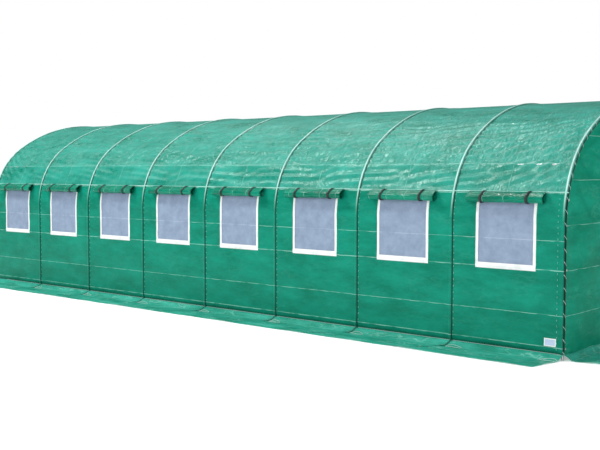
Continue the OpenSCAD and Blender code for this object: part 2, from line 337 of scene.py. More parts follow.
def lift(x, s):
    """How far the cloth stands out from the plain shell: a bell-shaped ridge over each hoop, less the drop
    of the panels between, less the slack at mid-bay away from the rails, plus creases that fan out from the
    hoops round the shoulder and long ripples along the roof, each a sine wave in s that fades with the
    distance w from the hoop. The end hoops pull longer slanting creases out of the last bays. The walls
    have shallow swells, a groove and a fold at the foot and a faint mark over each rail. At the ends of the
    tunnel the cloth turns in, round a quarter circle."""
    near = np.minimum(s, 2 * ridge_s - s)
    bays = (x - hoop_x[0]) / bay
    number = np.round(bays)
    w = (bays - number) * bay
    over_hoop = bell(w, 0, ridge_width)
    over_rail = sum(bell(near, rail, 0.035) for rail in rail_lengths)
    free = np.clip(1.0 - over_rail, 0.0, 1.0)
    middle = np.sin(math.pi * (bays - np.floor(bays))) ** 2
    on_roof = step(eave_s - 0.05, eave_s + 0.1, near)
    round_shoulder = on_roof * (1 - step(bend_end_s + 0.25, bend_end_s + 0.75, near))
    which = np.sin(12.9 * number + 4.7 * np.sign(w) + 3.1 * (s > ridge_s))
    fan = np.exp(-np.abs(w) / 0.24) * (1 - bell(w, 0, 0.03))
    pucker = np.sin(2 * math.pi * (near / (0.078 + 0.012 * which) + 2.3 * np.abs(w) * which) + 9 * which)
    ripples = waves(x, s, 1.6, 0.16, 11)
    folds = waves(x + 0.8 * near, near - 0.42 * x, 0.9, 0.11, 23)
    out = ridge_lift * over_hoop - panel_drop
    out = out - (wall_sag + roof_sag * on_roof) * middle * free
    out = out + pucker_depth * round_shoulder * fan * pucker * free
    out = out + on_roof * free * (1 - over_hoop) * (ripple_depth * ripples + fold_depth * folds * middle)

    from_end = np.clip(hoop_x[-1] - np.abs(x), 0.0, None)
    pull = np.exp(-from_end / 0.42) * (1 - bell(from_end, 0, 0.05)) * step(eave_s, eave_s + 0.12, near)
    pull = pull * (1 - step(bend_end_s + 0.1, bend_end_s + 0.7, near))
    slant = (near + 0.62 * from_end) / end_crease_gap + 0.4 * np.sin(5.1 * from_end)
    out = out + end_crease_depth * pull * np.sin(2 * math.pi * slant)

    on_wall = (1 - on_roof) * free * (1 - over_hoop)
    swells = wall_swell * waves(x, s, 0.35, 0.5, 5)
    crumples = wall_crumple * waves(x + s, s, 0.14, 0.20, 6)
    out = out + on_wall * (swells + crumples)
    out = out - foot_groove * bell(near, foot_groove_s, 0.016) + foot_fold * bell(near, foot_fold_s, 0.014)
    out = out + rail_mark * sum(bell(near, rail, 0.010) for rail in rail_lengths) * (1 - over_hoop)
    past = np.clip(np.abs(x) - (end_x - corner_r), 0.0, corner_r)
    return out - corner_r + np.sqrt(corner_r ** 2 - past ** 2)


def cloth_points(x, s, off=0.0):
    """Points of the cover in space, at lengths x along the tunnel and s round it, standing off by off."""
    y, z, ny, nz = on_the_arch(s)
    height = lift(x, s) + off
    return np.stack(np.broadcast_arrays(x, y + ny * height, z + nz * height), axis=-1)


def spaced(low, high, gap, closer=(), offsets=()):
    """Values from low to high about gap apart, with more at the offsets round each of the closer places."""
    even = np.linspace(low, high, max(2, int(round((high - low) / gap)) + 1))
    extra = (np.asarray(closer)[:, None] + np.asarray(offsets)).ravel() if len(closer) else np.empty(0)
    extra = extra[(extra > low + 0.002) & (extra < high - 0.002)]
    crowded = np.zeros(len(even), bool)
    if len(extra):
        crowded = np.abs(even[:, None] - extra).min(axis=1) < 0.4 * gap
    crowded[[0, -1]] = False
    return np.unique(np.round(np.concatenate([even[~crowded], extra]), 5))


def grid_mesh(name, grids, material, masks=None):
    """One object from grids. Each grid is (points, uv, keep): points is an array (rows, columns, 3), uv is
    (rows, columns, 2) in metres of cloth, and keep says which of its cells have a face, or is None for all. A
    face's corners go round so that it looks along the cross product of the column and row directions. masks
    are named lists with an array for each grid, of one value a point."""
    all_points, all_uv, all_faces, start = [], [], [], 0
    for points, uv, keep in grids:
        rows, columns = points.shape[:2]
        index = start + np.arange(rows * columns).reshape(rows, columns)
        faces = np.stack([index[:-1, :-1], index[:-1, 1:], index[1:, 1:], index[1:, :-1]], axis=-1)
        faces = faces.reshape(-1, 4) if keep is None else faces[keep]
        all_points.append(points.reshape(-1, 3))
        all_uv.append(uv.reshape(-1, 2))
        all_faces.append(faces)
        start += rows * columns
    points, uv, faces = np.concatenate(all_points), np.concatenate(all_uv), np.concatenate(all_faces)
    used, faces = np.unique(faces, return_inverse=True)
    faces = faces.reshape(-1, 4)
    mesh = bpy.data.meshes.new(name)
    mesh.vertices.add(len(used))
    mesh.vertices.foreach_set("co", points[used].astype(np.float32).ravel())
    mesh.loops.add(faces.size)
    mesh.loops.foreach_set("vertex_index", faces.astype(np.int32).ravel())
    mesh.polygons.add(len(faces))
    mesh.polygons.foreach_set("loop_start", np.arange(0, faces.size, 4, dtype=np.int32))
    mesh.polygons.foreach_set("use_smooth", np.ones(len(faces), bool))
    layer = mesh.uv_layers.new(name="cloth")
    layer.data.foreach_set("uv", uv[used][faces.ravel()].astype(np.float32).ravel())
    for label, arrays in (masks or {}).items():
        attribute = mesh.attributes.new(label, "FLOAT", "POINT")
        values = np.concatenate([array.ravel() for array in arrays])
        attribute.data.foreach_set("value", values[used].astype(np.float32))
    mesh.update(calc_edges=True)
    mesh.validate()
    mesh.materials.append(material)
    made = bpy.data.objects.new(name, mesh)
    scene.collection.objects.link(made)
    return made


# ---- Cover cloth: its finish ----
# Flat green tapes woven two ways, with a clear laminated face that shines. The sheet keeps the sharp lines
# that it was folded along for packing, and small crumples; the fold lines and the crumples' crests are
# painted pale as highlights.
woven, into, out = new_group("woven_tape", [("Vector", "Vector", None), ("Pitch", "Float", 0.0025)],
                             [("Height", "Float"), ("Tone", "Float")])
ways = add_node(woven, "ShaderNodeSeparateXYZ")
woven.links.new(into.outputs["Vector"], ways.inputs["Vector"])
turns = add_node(woven, "ShaderNodeMath", operation="DIVIDE")
turns.inputs[0].default_value = 2 * math.pi
woven.links.new(into.outputs["Pitch"], turns.inputs[1])
swells = []
for way in "XY":
    angle = add_node(woven, "ShaderNodeMath", operation="MULTIPLY")
    wave = add_node(woven, "ShaderNodeMath", operation="SINE")
    woven.links.new(ways.outputs[way], angle.inputs[0])
    woven.links.new(turns.outputs[0], angle.inputs[1])
    woven.links.new(angle.outputs[0], wave.inputs[0])
    swells.append(wave)
both = add_node(woven, "ShaderNodeMath", operation="MULTIPLY")
woven.links.new(swells[0].outputs[0], both.inputs[0])
woven.links.new(swells[1].outputs[0], both.inputs[1])
shift = add_node(woven, "ShaderNodeMath", operation="MULTIPLY_ADD")
shift.inputs[1].default_value = 0.5
shift.inputs[2].default_value = 0.5
woven.links.new(both.outputs[0], shift.inputs[0])
woven.links.new(shift.outputs[0], out.inputs["Height"])
woven.links.new(shift.outputs[0], out.inputs["Tone"])

crumpled, into, out = new_group(
    "crumple",
    [("Vector", "Vector", None), ("Size", "Float", 0.08), ("Stretch", "Float", 0.5)],
    [("Height", "Float"), ("Edge", "Float")])
squeeze = add_node(crumpled, "ShaderNodeCombineXYZ")
squeeze.inputs["Y"].default_value = 1.0
squeeze.inputs["Z"].default_value = 1.0
crumpled.links.new(into.outputs["Stretch"], squeeze.inputs["X"])
scaled = add_node(crumpled, "ShaderNodeVectorMath", operation="MULTIPLY")
crumpled.links.new(into.outputs["Vector"], scaled.inputs[0])
crumpled.links.new(squeeze.outputs[0], scaled.inputs[1])
bent = add_node(crumpled, "ShaderNodeTexNoise")
bent.inputs["Scale"].default_value = 7.0
crumpled.links.new(scaled.outputs[0], bent.inputs["Vector"])
wander = add_node(crumpled, "ShaderNodeVectorMath", operation="SCALE")
wander.inputs["Scale"].default_value = 0.09
crumpled.links.new(bent.outputs["Color"], wander.inputs[0])
moved = add_node(crumpled, "ShaderNodeVectorMath", operation="ADD")
crumpled.links.new(scaled.outputs[0], moved.inputs[0])
crumpled.links.new(wander.outputs[0], moved.inputs[1])
per_metre = add_node(crumpled, "ShaderNodeMath", operation="DIVIDE")
per_metre.inputs[0].default_value = 1.0
crumpled.links.new(into.outputs["Size"], per_metre.inputs[1])
facets = add_node(crumpled, "ShaderNodeTexVoronoi", feature="SMOOTH_F1")
facets.inputs["Smoothness"].default_value = 0.35
level = add_node(crumpled, "ShaderNodeTexNoise")
level.inputs["Detail"].default_value = 2.5
level.inputs["Roughness"].default_value = 0.55
for texture in (facets, level):
    crumpled.links.new(moved.outputs[0], texture.inputs["Vector"])
    crumpled.links.new(per_metre.outputs[0], texture.inputs["Scale"])
off_level = add_node(crumpled, "ShaderNodeMath", operation="SUBTRACT")
off_level.inputs[1].default_value = 0.5
crumpled.links.new(level.outputs["Fac"], off_level.inputs[0])
how_far = add_node(crumpled, "ShaderNodeMath", operation="ABSOLUTE")
crumpled.links.new(off_level.outputs[0], how_far.inputs[0])
sharp = add_node(crumpled, "ShaderNodeMapRange", interpolation_type="SMOOTHSTEP")
sharp.inputs["From Max"].default_value = 0.045
sharp.inputs["To Min"].default_value = 1.0
sharp.inputs["To Max"].default_value = 0.0
crumpled.links.new(how_far.outputs[0], sharp.inputs["Value"])
patches = add_node(crumpled, "ShaderNodeMapRange")
patches.inputs["From Min"].default_value = 0.42
patches.inputs["From Max"].default_value = 0.62
crumpled.links.new(bent.outputs["Fac"], patches.inputs["Value"])
some = add_node(crumpled, "ShaderNodeMath", operation="MULTIPLY")
crumpled.links.new(sharp.outputs["Result"], some.inputs[0])
crumpled.links.new(patches.outputs["Result"], some.inputs[1])
blend = add_node(crumpled, "ShaderNodeMath", operation="MULTIPLY_ADD")
blend.inputs[1].default_value = 0.5
crumpled.links.new(some.outputs[0], blend.inputs[0])
crumpled.links.new(facets.outputs["Distance"], blend.inputs[2])
crumpled.links.new(blend.outputs[0], out.inputs["Height"])
crumpled.links.new(some.outputs[0], out.inputs["Edge"])

folded, into, out = new_group(
    "packing_folds",
    [("Along", "Float", 0.0), ("First", "Float", 0.0), ("Every", "Float", 0.7), ("Width", "Float", 0.004),
     ("Vector", "Vector", None)],
    [("Line", "Float")])
jitter = add_node(folded, "ShaderNodeTexNoise")
jitter.inputs["Scale"].default_value = 9.0
jitter.inputs["Detail"].default_value = 3.0
folded.links.new(into.outputs["Vector"], jitter.inputs["Vector"])
wobble = add_node(folded, "ShaderNodeMath", operation="MULTIPLY_ADD")
wobble.inputs[1].default_value = 0.012
folded.links.new(jitter.outputs["Fac"], wobble.inputs[0])
folded.links.new(into.outputs["Along"], wobble.inputs[2])
from_first = add_node(folded, "ShaderNodeMath", operation="SUBTRACT")
folded.links.new(wobble.outputs[0], from_first.inputs[0])
folded.links.new(into.outputs["First"], from_first.inputs[1])
nearest = add_node(folded, "ShaderNodeMath", operation="PINGPONG")
half = add_node(folded, "ShaderNodeMath", operation="MULTIPLY")
half.inputs[1].default_value = 0.5
folded.links.new(into.outputs["Every"], half.inputs[0])
folded.links.new(from_first.outputs[0], nearest.inputs[0])
folded.links.new(half.outputs[0], nearest.inputs[1])
line = add_node(folded, "ShaderNodeMapRange", interpolation_type="SMOOTHSTEP")
line.inputs["To Min"].default_value = 1.0
line.inputs["To Max"].default_value = 0.0
folded.links.new(nearest.outputs[0], line.inputs["Value"])
folded.links.new(into.outputs["Width"], line.inputs["From Max"])
patchy = add_node(folded, "ShaderNodeMapRange")
patchy.inputs["From Min"].default_value = 0.40
patchy.inputs["From Max"].default_value = 0.55
patchy.inputs["To Min"].default_value = 0.25
folded.links.new(jitter.outputs["Fac"], patchy.inputs["Value"])
broken = add_node(folded, "ShaderNodeMath", operation="MULTIPLY")
folded.links.new(line.outputs["Result"], broken.inputs[0])
folded.links.new(patchy.outputs["Result"], broken.inputs[1])
folded.links.new(broken.outputs[0], out.inputs["Line"])


once = 60.0             # a spacing longer than any piece, for a line that comes only once
off_cloth = once / 2    # a place with no cloth of that kind, for a line that is left out


def cover_material(name, deep, light, crumple_size=0.07, crumple_depth=0.0016, fold_first=(0.35, off_cloth),
                   fold_every=(0.58, once), rail_first=off_cloth, rail_every=once, crease_highlight=0.3,
                   roughness=0.36, stretch=0.45, gloss=0.12):
    """Green laminated sheet. deep and light are its two tones. The crests of the crumples, the packing folds
    and the lines over the rails are painted pale as highlights, the crest of each hoop ridge on the roof is a
    paler painted highlight, and a near-black line beside each hoop is partly the seam's thread and partly
    painted shade, as is a darker band at the foot of the walls. fold_first and fold_every are the first place
    and the spacing of the packing folds, up the cloth and along it, and rail_first and rail_every those of
    the lines over the rails, each a bump with a painted highlight, in metres of cloth. stretch squeezes the
    crumples along the cloth: below 1 they are longer that way, and above 1 shorter."""
    made, tree, shader = new_material(name)
    cloth = add_node(tree, "ShaderNodeUVMap", uv_map="cloth")
    apart = add_node(tree, "ShaderNodeSeparateXYZ")
    tree.links.new(cloth.outputs["UV"], apart.inputs["Vector"])
    slack = add_node(tree, "ShaderNodeAttribute", attribute_name="slack")
    seam = add_node(tree, "ShaderNodeAttribute", attribute_name="seam")
    ridge_highlight = add_node(tree, "ShaderNodeAttribute", attribute_name="ridge_highlight")
    tape = place_group(tree, woven, Pitch=0.0026)
    crease = place_group(tree, crumpled, Size=crumple_size, Stretch=stretch)
    fine = place_group(tree, crumpled, Size=crumple_size * 0.36, Stretch=stretch)
    round_folds = place_group(tree, folded, First=fold_first[0], Every=fold_every[0])
    along_folds = place_group(tree, folded, First=fold_first[1], Every=fold_every[1])
    for group in (tape, crease, fine, round_folds, along_folds):
        tree.links.new(cloth.outputs["UV"], group.inputs["Vector"])
    tree.links.new(apart.outputs["Y"], round_folds.inputs["Along"])
    tree.links.new(apart.outputs["X"], along_folds.inputs["Along"])
    rail_lines = place_group(tree, folded, First=rail_first, Every=rail_every, Width=0.006)
    tree.links.new(cloth.outputs["UV"], rail_lines.inputs["Vector"])
    tree.links.new(apart.outputs["Y"], rail_lines.inputs["Along"])
    two_ways = add_node(tree, "ShaderNodeMath", operation="MAXIMUM")
    tree.links.new(round_folds.outputs["Line"], two_ways.inputs[0])
    tree.links.new(along_folds.outputs["Line"], two_ways.inputs[1])
    fold_line = add_node(tree, "ShaderNodeMath", operation="MAXIMUM")
    tree.links.new(two_ways.outputs[0], fold_line.inputs[0])
    tree.links.new(rail_lines.outputs["Line"], fold_line.inputs[1])
    cloud = add_node(tree, "ShaderNodeTexNoise")
    cloud.inputs["Scale"].default_value = 3.5
    cloud.inputs["Detail"].default_value = 8.0
    cloud.inputs["Roughness"].default_value = 0.74
    drawn_out = add_node(tree, "ShaderNodeMapping")
    drawn_out.inputs["Scale"].default_value = (0.55, 1.5, 1.0)
    tree.links.new(cloth.outputs["UV"], drawn_out.inputs["Vector"])
    tree.links.new(drawn_out.outputs["Vector"], cloud.inputs["Vector"])
    cloud_cut = add_node(tree, "ShaderNodeMapRange")
    cloud_cut.inputs["From Min"].default_value = 0.38
    cloud_cut.inputs["From Max"].default_value = 0.62
    tree.links.new(cloud.outputs["Fac"], cloud_cut.inputs["Value"])
    tone = add_node(tree, "ShaderNodeMix", data_type="RGBA")
    tone.inputs["A"].default_value = (*deep, 1.0)
    tone.inputs["B"].default_value = (*light, 1.0)
    tree.links.new(cloud_cut.outputs["Result"], tone.inputs["Factor"])
    # painted highlight: crumple crests, packing folds and rail lines are mixed towards a pale green below
    crest = add_node(tree, "ShaderNodeMath", operation="MULTIPLY")
    tree.links.new(crease.outputs["Edge"], crest.inputs[0])
    tree.links.new(slack.outputs["Fac"], crest.inputs[1])
    crest_highlight = add_node(tree, "ShaderNodeMath", operation="MULTIPLY")
    crest_highlight.inputs[1].default_value = crease_highlight
    tree.links.new(crest.outputs[0], crest_highlight.inputs[0])
    fold_highlight = add_node(tree, "ShaderNodeMath", operation="MULTIPLY")
    fold_highlight.inputs[1].default_value = 0.70
    tree.links.new(fold_line.outputs[0], fold_highlight.inputs[0])
    pale = add_node(tree, "ShaderNodeMath", operation="MAXIMUM")
    tree.links.new(crest_highlight.outputs[0], pale.inputs[0])
    tree.links.new(fold_highlight.outputs[0], pale.inputs[1])
    # painted highlight: a pale green along the crest of each hoop ridge on the roof
    ridge_highlit = add_node(tree, "ShaderNodeMix", data_type="RGBA")
    ridge_highlit.inputs["B"].default_value = (0.66, 0.90, 0.86, 1.0)
    tree.links.new(tone.outputs["Result"], ridge_highlit.inputs["A"])
    tree.links.new(ridge_highlight.outputs["Fac"], ridge_highlit.inputs["Factor"])
    highlighted_creases = add_node(tree, "ShaderNodeMix", data_type="RGBA")
    highlighted_creases.inputs["B"].default_value = (0.38, 0.78, 0.67, 1.0)
    tree.links.new(ridge_highlit.outputs["Result"], highlighted_creases.inputs["A"])
    tree.links.new(pale.outputs[0], highlighted_creases.inputs["Factor"])
    # near-black: the seam's thread beside each hoop and across the skirts, with painted shade on the ridge's
    # front flank, in the skirt seams and in the groove at the foot of the walls
    seam_and_shade_dark = add_node(tree, "ShaderNodeMix", data_type="RGBA")
    seam_and_shade_dark.inputs["B"].default_value = (0.004, 0.030, 0.022, 1.0)
    tree.links.new(highlighted_creases.outputs["Result"], seam_and_shade_dark.inputs["A"])
    tree.links.new(seam.outputs["Fac"], seam_and_shade_dark.inputs["Factor"])
    tree.links.new(seam_and_shade_dark.outputs["Result"], shader.inputs["Base Color"])
    shine = add_node(tree, "ShaderNodeMapRange")
    shine.inputs["To Min"].default_value = roughness - 0.06
    shine.inputs["To Max"].default_value = roughness + 0.12
    tree.links.new(cloud.outputs["Fac"], shine.inputs["Value"])
    tree.links.new(shine.outputs["Result"], shader.inputs["Roughness"])
    big = add_node(tree, "ShaderNodeMath", operation="MULTIPLY")
    tree.links.new(crease.outputs["Height"], big.inputs[0])
    tree.links.new(slack.outputs["Fac"], big.inputs[1])
    small = add_node(tree, "ShaderNodeMath", operation="MULTIPLY_ADD")
    small.inputs[1].default_value = 0.3
    tree.links.new(fine.outputs["Height"], small.inputs[0])
    tree.links.new(big.outputs[0], small.inputs[2])
    crumple_bump = add_node(tree, "ShaderNodeBump")
    crumple_bump.inputs["Strength"].default_value = 1.0
    crumple_bump.inputs["Distance"].default_value = crumple_depth
    tree.links.new(small.outputs[0], crumple_bump.inputs["Height"])
    fold_bump = add_node(tree, "ShaderNodeBump")
    fold_bump.inputs["Strength"].default_value = 1.0
    fold_bump.inputs["Distance"].default_value = 0.0020
    tree.links.new(fold_line.outputs[0], fold_bump.inputs["Height"])
    tree.links.new(crumple_bump.outputs["Normal"], fold_bump.inputs["Normal"])
    weave_bump = add_node(tree, "ShaderNodeBump")
    weave_bump.inputs["Strength"].default_value = 0.35
    weave_bump.inputs["Distance"].default_value = 0.00012
    tree.links.new(tape.outputs["Height"], weave_bump.inputs["Height"])
    tree.links.new(fold_bump.outputs["Normal"], weave_bump.inputs["Normal"])
    tree.links.new(weave_bump.outputs["Normal"], shader.inputs["Normal"])
    shader.inputs["Specular IOR Level"].default_value = gloss
    return made


wall_cloth = cover_material("wall_cloth", (0.001, 0.180, 0.112), (0.005, 0.272, 0.182),
                            crumple_depth=0.0034, rail_first=0.10, rail_every=0.60, crease_highlight=0.16,
                            gloss=0.10)
# The roof's tones are paler and greyer than the walls' copy of the same cloth: painted sheen of the sky.
roof_cloth = cover_material("roof_cloth", (0.005, 0.240, 0.168), (0.030, 0.375, 0.290), crumple_size=0.070,
                            crumple_depth=0.0066, fold_first=(2.10, 0.5), fold_every=(once, 1.0),
                            rail_first=purlin_s, rail_every=2 * (ridge_s - purlin_s), crease_highlight=0.45,
                            roughness=0.26, stretch=2.6, gloss=0.36)
# The skirt's tones are paler than the walls' copy of the same cloth: painted light on cloth that lies facing
# up.
skirt_cloth = cover_material("skirt_cloth", (0.010, 0.250, 0.165), (0.050, 0.460, 0.350),
                             crumple_depth=0.0030, fold_first=(0.085, 0.35), fold_every=(0.22, once),
                             crease_highlight=0.5, roughness=0.42)


# ---- Walls and roof ----
# Three lengths of the cover, joined by a folded seam along each eave. The walls have a cut-out in each bay
# for a window. A dark line runs down beside each hoop, where the panels are sewn: partly the thread and
# partly painted shade on the front flank of the hoop's ridge.
near_hoop = np.array([-34, -27, -21, -16, -12, -8, -4, 0, 4, 8, 12, 16, 21, 27, 34]) * 1e-3
near_rail = np.array([-40, -20, 0, 20, 40]) * 1e-3
bay_x = (hoop_x[:-1] + hoop_x[1:]) / 2
net_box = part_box("left_window_nets")
window_width = (net_box[1][0] - net_box[0][0]) - (bay_x[-1] - bay_x[0])


dark_line_offset = 0.0135


def seam_and_shade_mask(x, s):
    """1 on the dark line beside each hoop, partly the seam's thread and partly painted shade on the front
    flank of the hoop's ridge. It is 14 mm to the front of each hoop's middle on the walls and 20 mm on the
    roof, where it is also fainter. The bottom edge of the walls, where the skirt is sewn on, is half as dark:
    painted shade in the groove at the foot. The line's profile is e to the power of -(w / width)^4."""
    near = np.minimum(s, 2 * ridge_s - s)
    up = step(eave_s - 0.12, eave_s + 0.30, near)
    w = x - hoop_x[0] - dark_line_offset - 0.0065 * up
    w = w - bay * np.round(w / bay)
    line = 0.97 * np.exp(-((w / (0.0055 + 0.001 * up)) ** 4)) * (1 - 0.12 * up)
    return np.maximum(line, 0.55 * (1 - step(0.046, 0.072, near)))


def ridge_highlight_mask(x, s):
    """1 along the crest of each hoop's ridge on the roof, where a pale highlight is painted, and 0 on the
    walls. Across the crest it is e to the power of -(w / width)^4."""
    near = np.minimum(s, 2 * ridge_s - s)
    w = x - hoop_x[0] + 0.001
    w = w - bay * np.round(w / bay)
    return 0.92 * np.exp(-((w / 0.0075) ** 4)) * step(eave_s - 0.25, eave_s + 0.10, near)


def slack_mask(x, s):
    """How crumpled the sheet is: most on the slope of the roof and close to the hoops, little on the
    walls."""
    near = np.minimum(s, 2 * ridge_s - s)
    w = x - hoop_x[0]
    w = np.abs(w - bay * np.round(w / bay))
    towards_ridge = step(bend_end_s + 0.10, ridge_s - 0.25, near)
    slope = step(purlin_s - 0.03, purlin_s + 0.06, near) * (1 - 0.80 * towards_ridge)
    beside_hoop = np.exp(-w / 0.12) * step(0.9, 1.5, near)
    return np.clip(0.14 + 0.75 * slope + 0.45 * beside_hoop, 0.0, 1.0)


def cover_piece(name, s_low, s_high, gap, material, windows):
    """A piece of cover between two lengths round the arch, from end to end, with or without window cut-outs.
    Its points are those of cloth_points on a grid of x and s, whose lines crowd together over the hoops, the
    sills and the foot, and on the roof's two shoulder bends."""
    cut = (bay_x[:, None] + np.array([-0.5, 0.5]) * window_width).ravel() if windows else np.empty(0)
    x = spaced(-end_x, end_x, 0.023, np.concatenate([hoop_x, cut]), near_hoop)
    x = np.unique(np.round(np.concatenate([x, cut]), 5))
    on_right = s_low < 1
    sill = sill_height if on_right else 2 * ridge_s - sill_height
    foot = base_rail_height + 0.02 if on_right else 2 * ridge_s - base_rail_height - 0.02
    s = spaced(s_low, s_high, gap, [sill, foot] if windows else [ridge_s], near_rail)
    if not windows:
        bend = np.linspace(eave_s, bend_end_s + 0.30, 62)
        crown = s[(s > bend[-1] + gap / 2) & (s < 2 * ridge_s - bend[-1] - gap / 2)]
        s = np.concatenate([bend, crown, 2 * ridge_s - bend[::-1]])
    grid_s, grid_x = np.meshgrid(s, x)
    points = cloth_points(grid_x, grid_s)
    keep = None
    if windows:
        mid_x = (x[:-1] + x[1:]) / 2
        mid_s = (s[:-1] + s[1:]) / 2
        in_window = (np.abs(mid_x[:, None] - bay_x).min(axis=1) < window_width / 2)[:, None]
        above_sill = ((mid_s > sill) if on_right else (mid_s < sill))[None, :]
        keep = ~(in_window & above_sill)
    near = np.minimum(grid_s, 2 * ridge_s - grid_s)
    uv = np.stack([grid_x, near if windows else grid_s], axis=-1)
    made = grid_mesh(name, [(points, uv, keep)], material,
                     {"slack": [slack_mask(grid_x, grid_s)], "seam": [seam_and_shade_mask(grid_x, grid_s)],
                      "ridge_highlight": [ridge_highlight_mask(grid_x, grid_s)]})
    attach(made, "root")
    return made


skirt_height = 0.045
wall_spans = (("right", skirt_height, eave_s), ("left", 2 * ridge_s - eave_s, 2 * ridge_s - skirt_height))
for side, s_low, s_high in wall_spans:
    wall = cover_piece(side + "_wall_sheet", s_low, s_high, 0.018, wall_cloth, True)
    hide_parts(side + "_wall")
roof = cover_piece("roof_sheet", eave_s, 2 * ridge_s - eave_s, 0.030, roof_cloth, False)
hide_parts("roof_cover")


# ---- Eave seams ----
# Where the roof sheet is sewn to a wall sheet, the doubled edge makes a thin round welt, drawn pale green as
# a painted highlight along it. It runs the whole length of the tunnel, above the windows.
def tube_points(path, radius, around):
    """Points of a round tube along a path: (points along, around + 1, 3). A ring lies square to the path at
    each point: the radius times the cosine of the turn one way and its sine the other, along two directions
    that are both at right angles to the path there."""
    along = np.gradient(path, axis=0)
    along = along / np.linalg.norm(along, axis=1, keepdims=True)
    lean = np.where(np.abs(along[:, 2:3]) < 0.9, [[0.0, 0.0, 1.0]], [[1.0, 0.0, 0.0]])
    across = np.cross(along, lean)
    across = across / np.linalg.norm(across, axis=1, keepdims=True)
    up = np.cross(across, along)
    turn = np.linspace(0, 2 * math.pi, around + 1)[None, :, None]
    return path[:, None, :] + radius * (np.cos(turn) * across[:, None, :] + np.sin(turn) * up[:, None, :])


def tube_grid(path, radius, around=8):
    """A grid for grid_mesh: a round tube along a path, with its length and girth as its cloth sizes."""
    points = tube_points(np.asarray(path, float), radius, around)
    run = np.concatenate([[0.0], np.cumsum(np.linalg.norm(np.diff(path, axis=0), axis=1))])
    girth = np.linspace(0, 2 * math.pi * radius, around + 1)
    uv = np.stack(np.broadcast_arrays(run[:, None], girth[None, :]), axis=-1)
    return points, uv, None


# pale green: the colour of the stitches, and a painted highlight on the eave welts
stitch_and_welt_highlight = cover_material("stitch_and_welt_highlight", (0.25, 0.66, 0.55), (0.62, 0.88, 0.82), crumple_size=0.02,
                            crumple_depth=0.0006)
welt_r = 0.0036
seam_x = spaced(-end_x, end_x, 0.021, hoop_x, near_hoop)
seam_grids = [tube_grid(cloth_points(seam_x, np.full(seam_x.shape, s), 0.0016), welt_r)
              for s in (eave_s, 2 * ridge_s - eave_s)]
eave_seams = grid_mesh("eave_seams", seam_grids, stitch_and_welt_highlight)
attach(eave_seams, "root")


# ---- End walls ----
# A flat sheet fills each end, laced to the end hoop all round and cut out for a doorway in the middle. It
# hangs in soft upright folds, with a few long creases that run up towards the hoop.
door_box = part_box("front_door_zips")
zip_width = 0.030
door_half = door_box[1][1] - zip_width
door_top = door_box[1][2]
end_cloth = cover_material("end_cloth", (0.002, 0.200, 0.118), (0.008, 0.300, 0.190), crumple_size=0.09,
                           crumple_depth=0.0030, crease_highlight=0.12, fold_first=(0.35, 10.9),
                           fold_every=(0.35, once), gloss=0.02)
end_swell = 0.0070
end_slant_crease = 0.0050
frame_gap = 0.0042


def end_folds(y, z, seed):
    """How far an end wall stands in or out: upright swells and creases slanting up to the shoulder, both
    falling to nothing at the hoop and at the doorway's edges, and stopped where the sheet would meet the
    frame."""
    edge = np.minimum(half_width - np.abs(y), ridge_height - z)
    from_door = np.hypot(np.clip(np.abs(y) - door_half, 0, None), np.clip(z - door_top, 0, None))
    held = step(0.0, 0.16, edge) * step(0.0, 0.12, from_door + 0.02)
    slant = z - 0.9 * np.abs(y)
    blown = end_swell * waves(y, z, 0.55, 2.2, seed) + end_slant_crease * waves(slant, y, 0.20, 1.5, seed + 1)
    return held * np.clip(blown + 0.003, -frame_gap, None)


def end_wall_grids(side, seed):
    """The three parts of an end wall: one on each side of the doorway and one over it. y follows the arch,
    drawn in by the corner's radius, and z goes in even shares from the skirt, or from the top of the doorway,
    up to the arch."""
    s_door = ridge_s - crown_r * math.asin(door_half / (crown_r - corner_r))
    s = spaced(leg_height, s_door, 0.020)
    y, z, ny, nz = on_the_arch(s)
    beside_y, beside_top = y - ny * corner_r, z - nz * corner_r
    beside_y[-1] = door_half
    over_y = np.linspace(-door_half, door_half, 46)
    over_top = crown_z + np.sqrt((crown_r - corner_r) ** 2 - over_y ** 2)
    parts = ((1.0, beside_y, beside_top, skirt_height, 60, True),
             (-1.0, beside_y, beside_top, skirt_height, 60, False),
             (1.0, over_y, over_top, door_top, 16, False))
    grids, slack = [], []
    for flip, y, top, bottom, rows, turned in parts:
        share, grid_y = np.meshgrid(np.linspace(0, 1, rows), y)
        z = bottom + share * (top[:, None] - bottom)
        x = end_x + end_folds(flip * grid_y, z, seed)
        points = np.stack([side * x, flip * grid_y, z], axis=-1)
        uv = np.stack([flip * grid_y + 10, z], axis=-1)
        if turned != (side < 0):
            points, uv = points[::-1], uv[::-1]
        grids.append((np.swapaxes(points, 0, 1), np.swapaxes(uv, 0, 1), None))
        slack.append(np.full((rows, len(y)), 0.45))
    return grids, slack


for side, name, hoop in ((1.0, "front", hoop_names[-1]), (-1.0, "back", hoop_names[0])):
    grids, slack = end_wall_grids(side, 31 if side > 0 else 47)
    end_wall = grid_mesh(name + "_wall_sheet", grids, end_cloth, {"slack": slack})
    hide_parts(name + "_wall")
    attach(end_wall, "root")


# ---- Skirts ----
# A strip of the same cloth, sewn round the foot of the walls. It falls a few centimetres and lies out on
# the ground, where it is meant to be buried. Its edge wanders, it puckers beside each hoop and its ends
# are cut at a slant.
skirt_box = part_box("right_skirt")
skirt_spread = skirt_box[1][1] - half_width
skirt_fall = 0.07
fall_length = math.hypot(skirt_fall, skirt_height)
skirt_length = fall_length + skirt_spread - skirt_fall
corner_slant = 0.20
doorway_slant = 0.12
off_ground = 0.0015
edge_wander = 0.010
toe_ridge = 0.0035
skirt_swell = 0.0085
tuck_height = 0.008


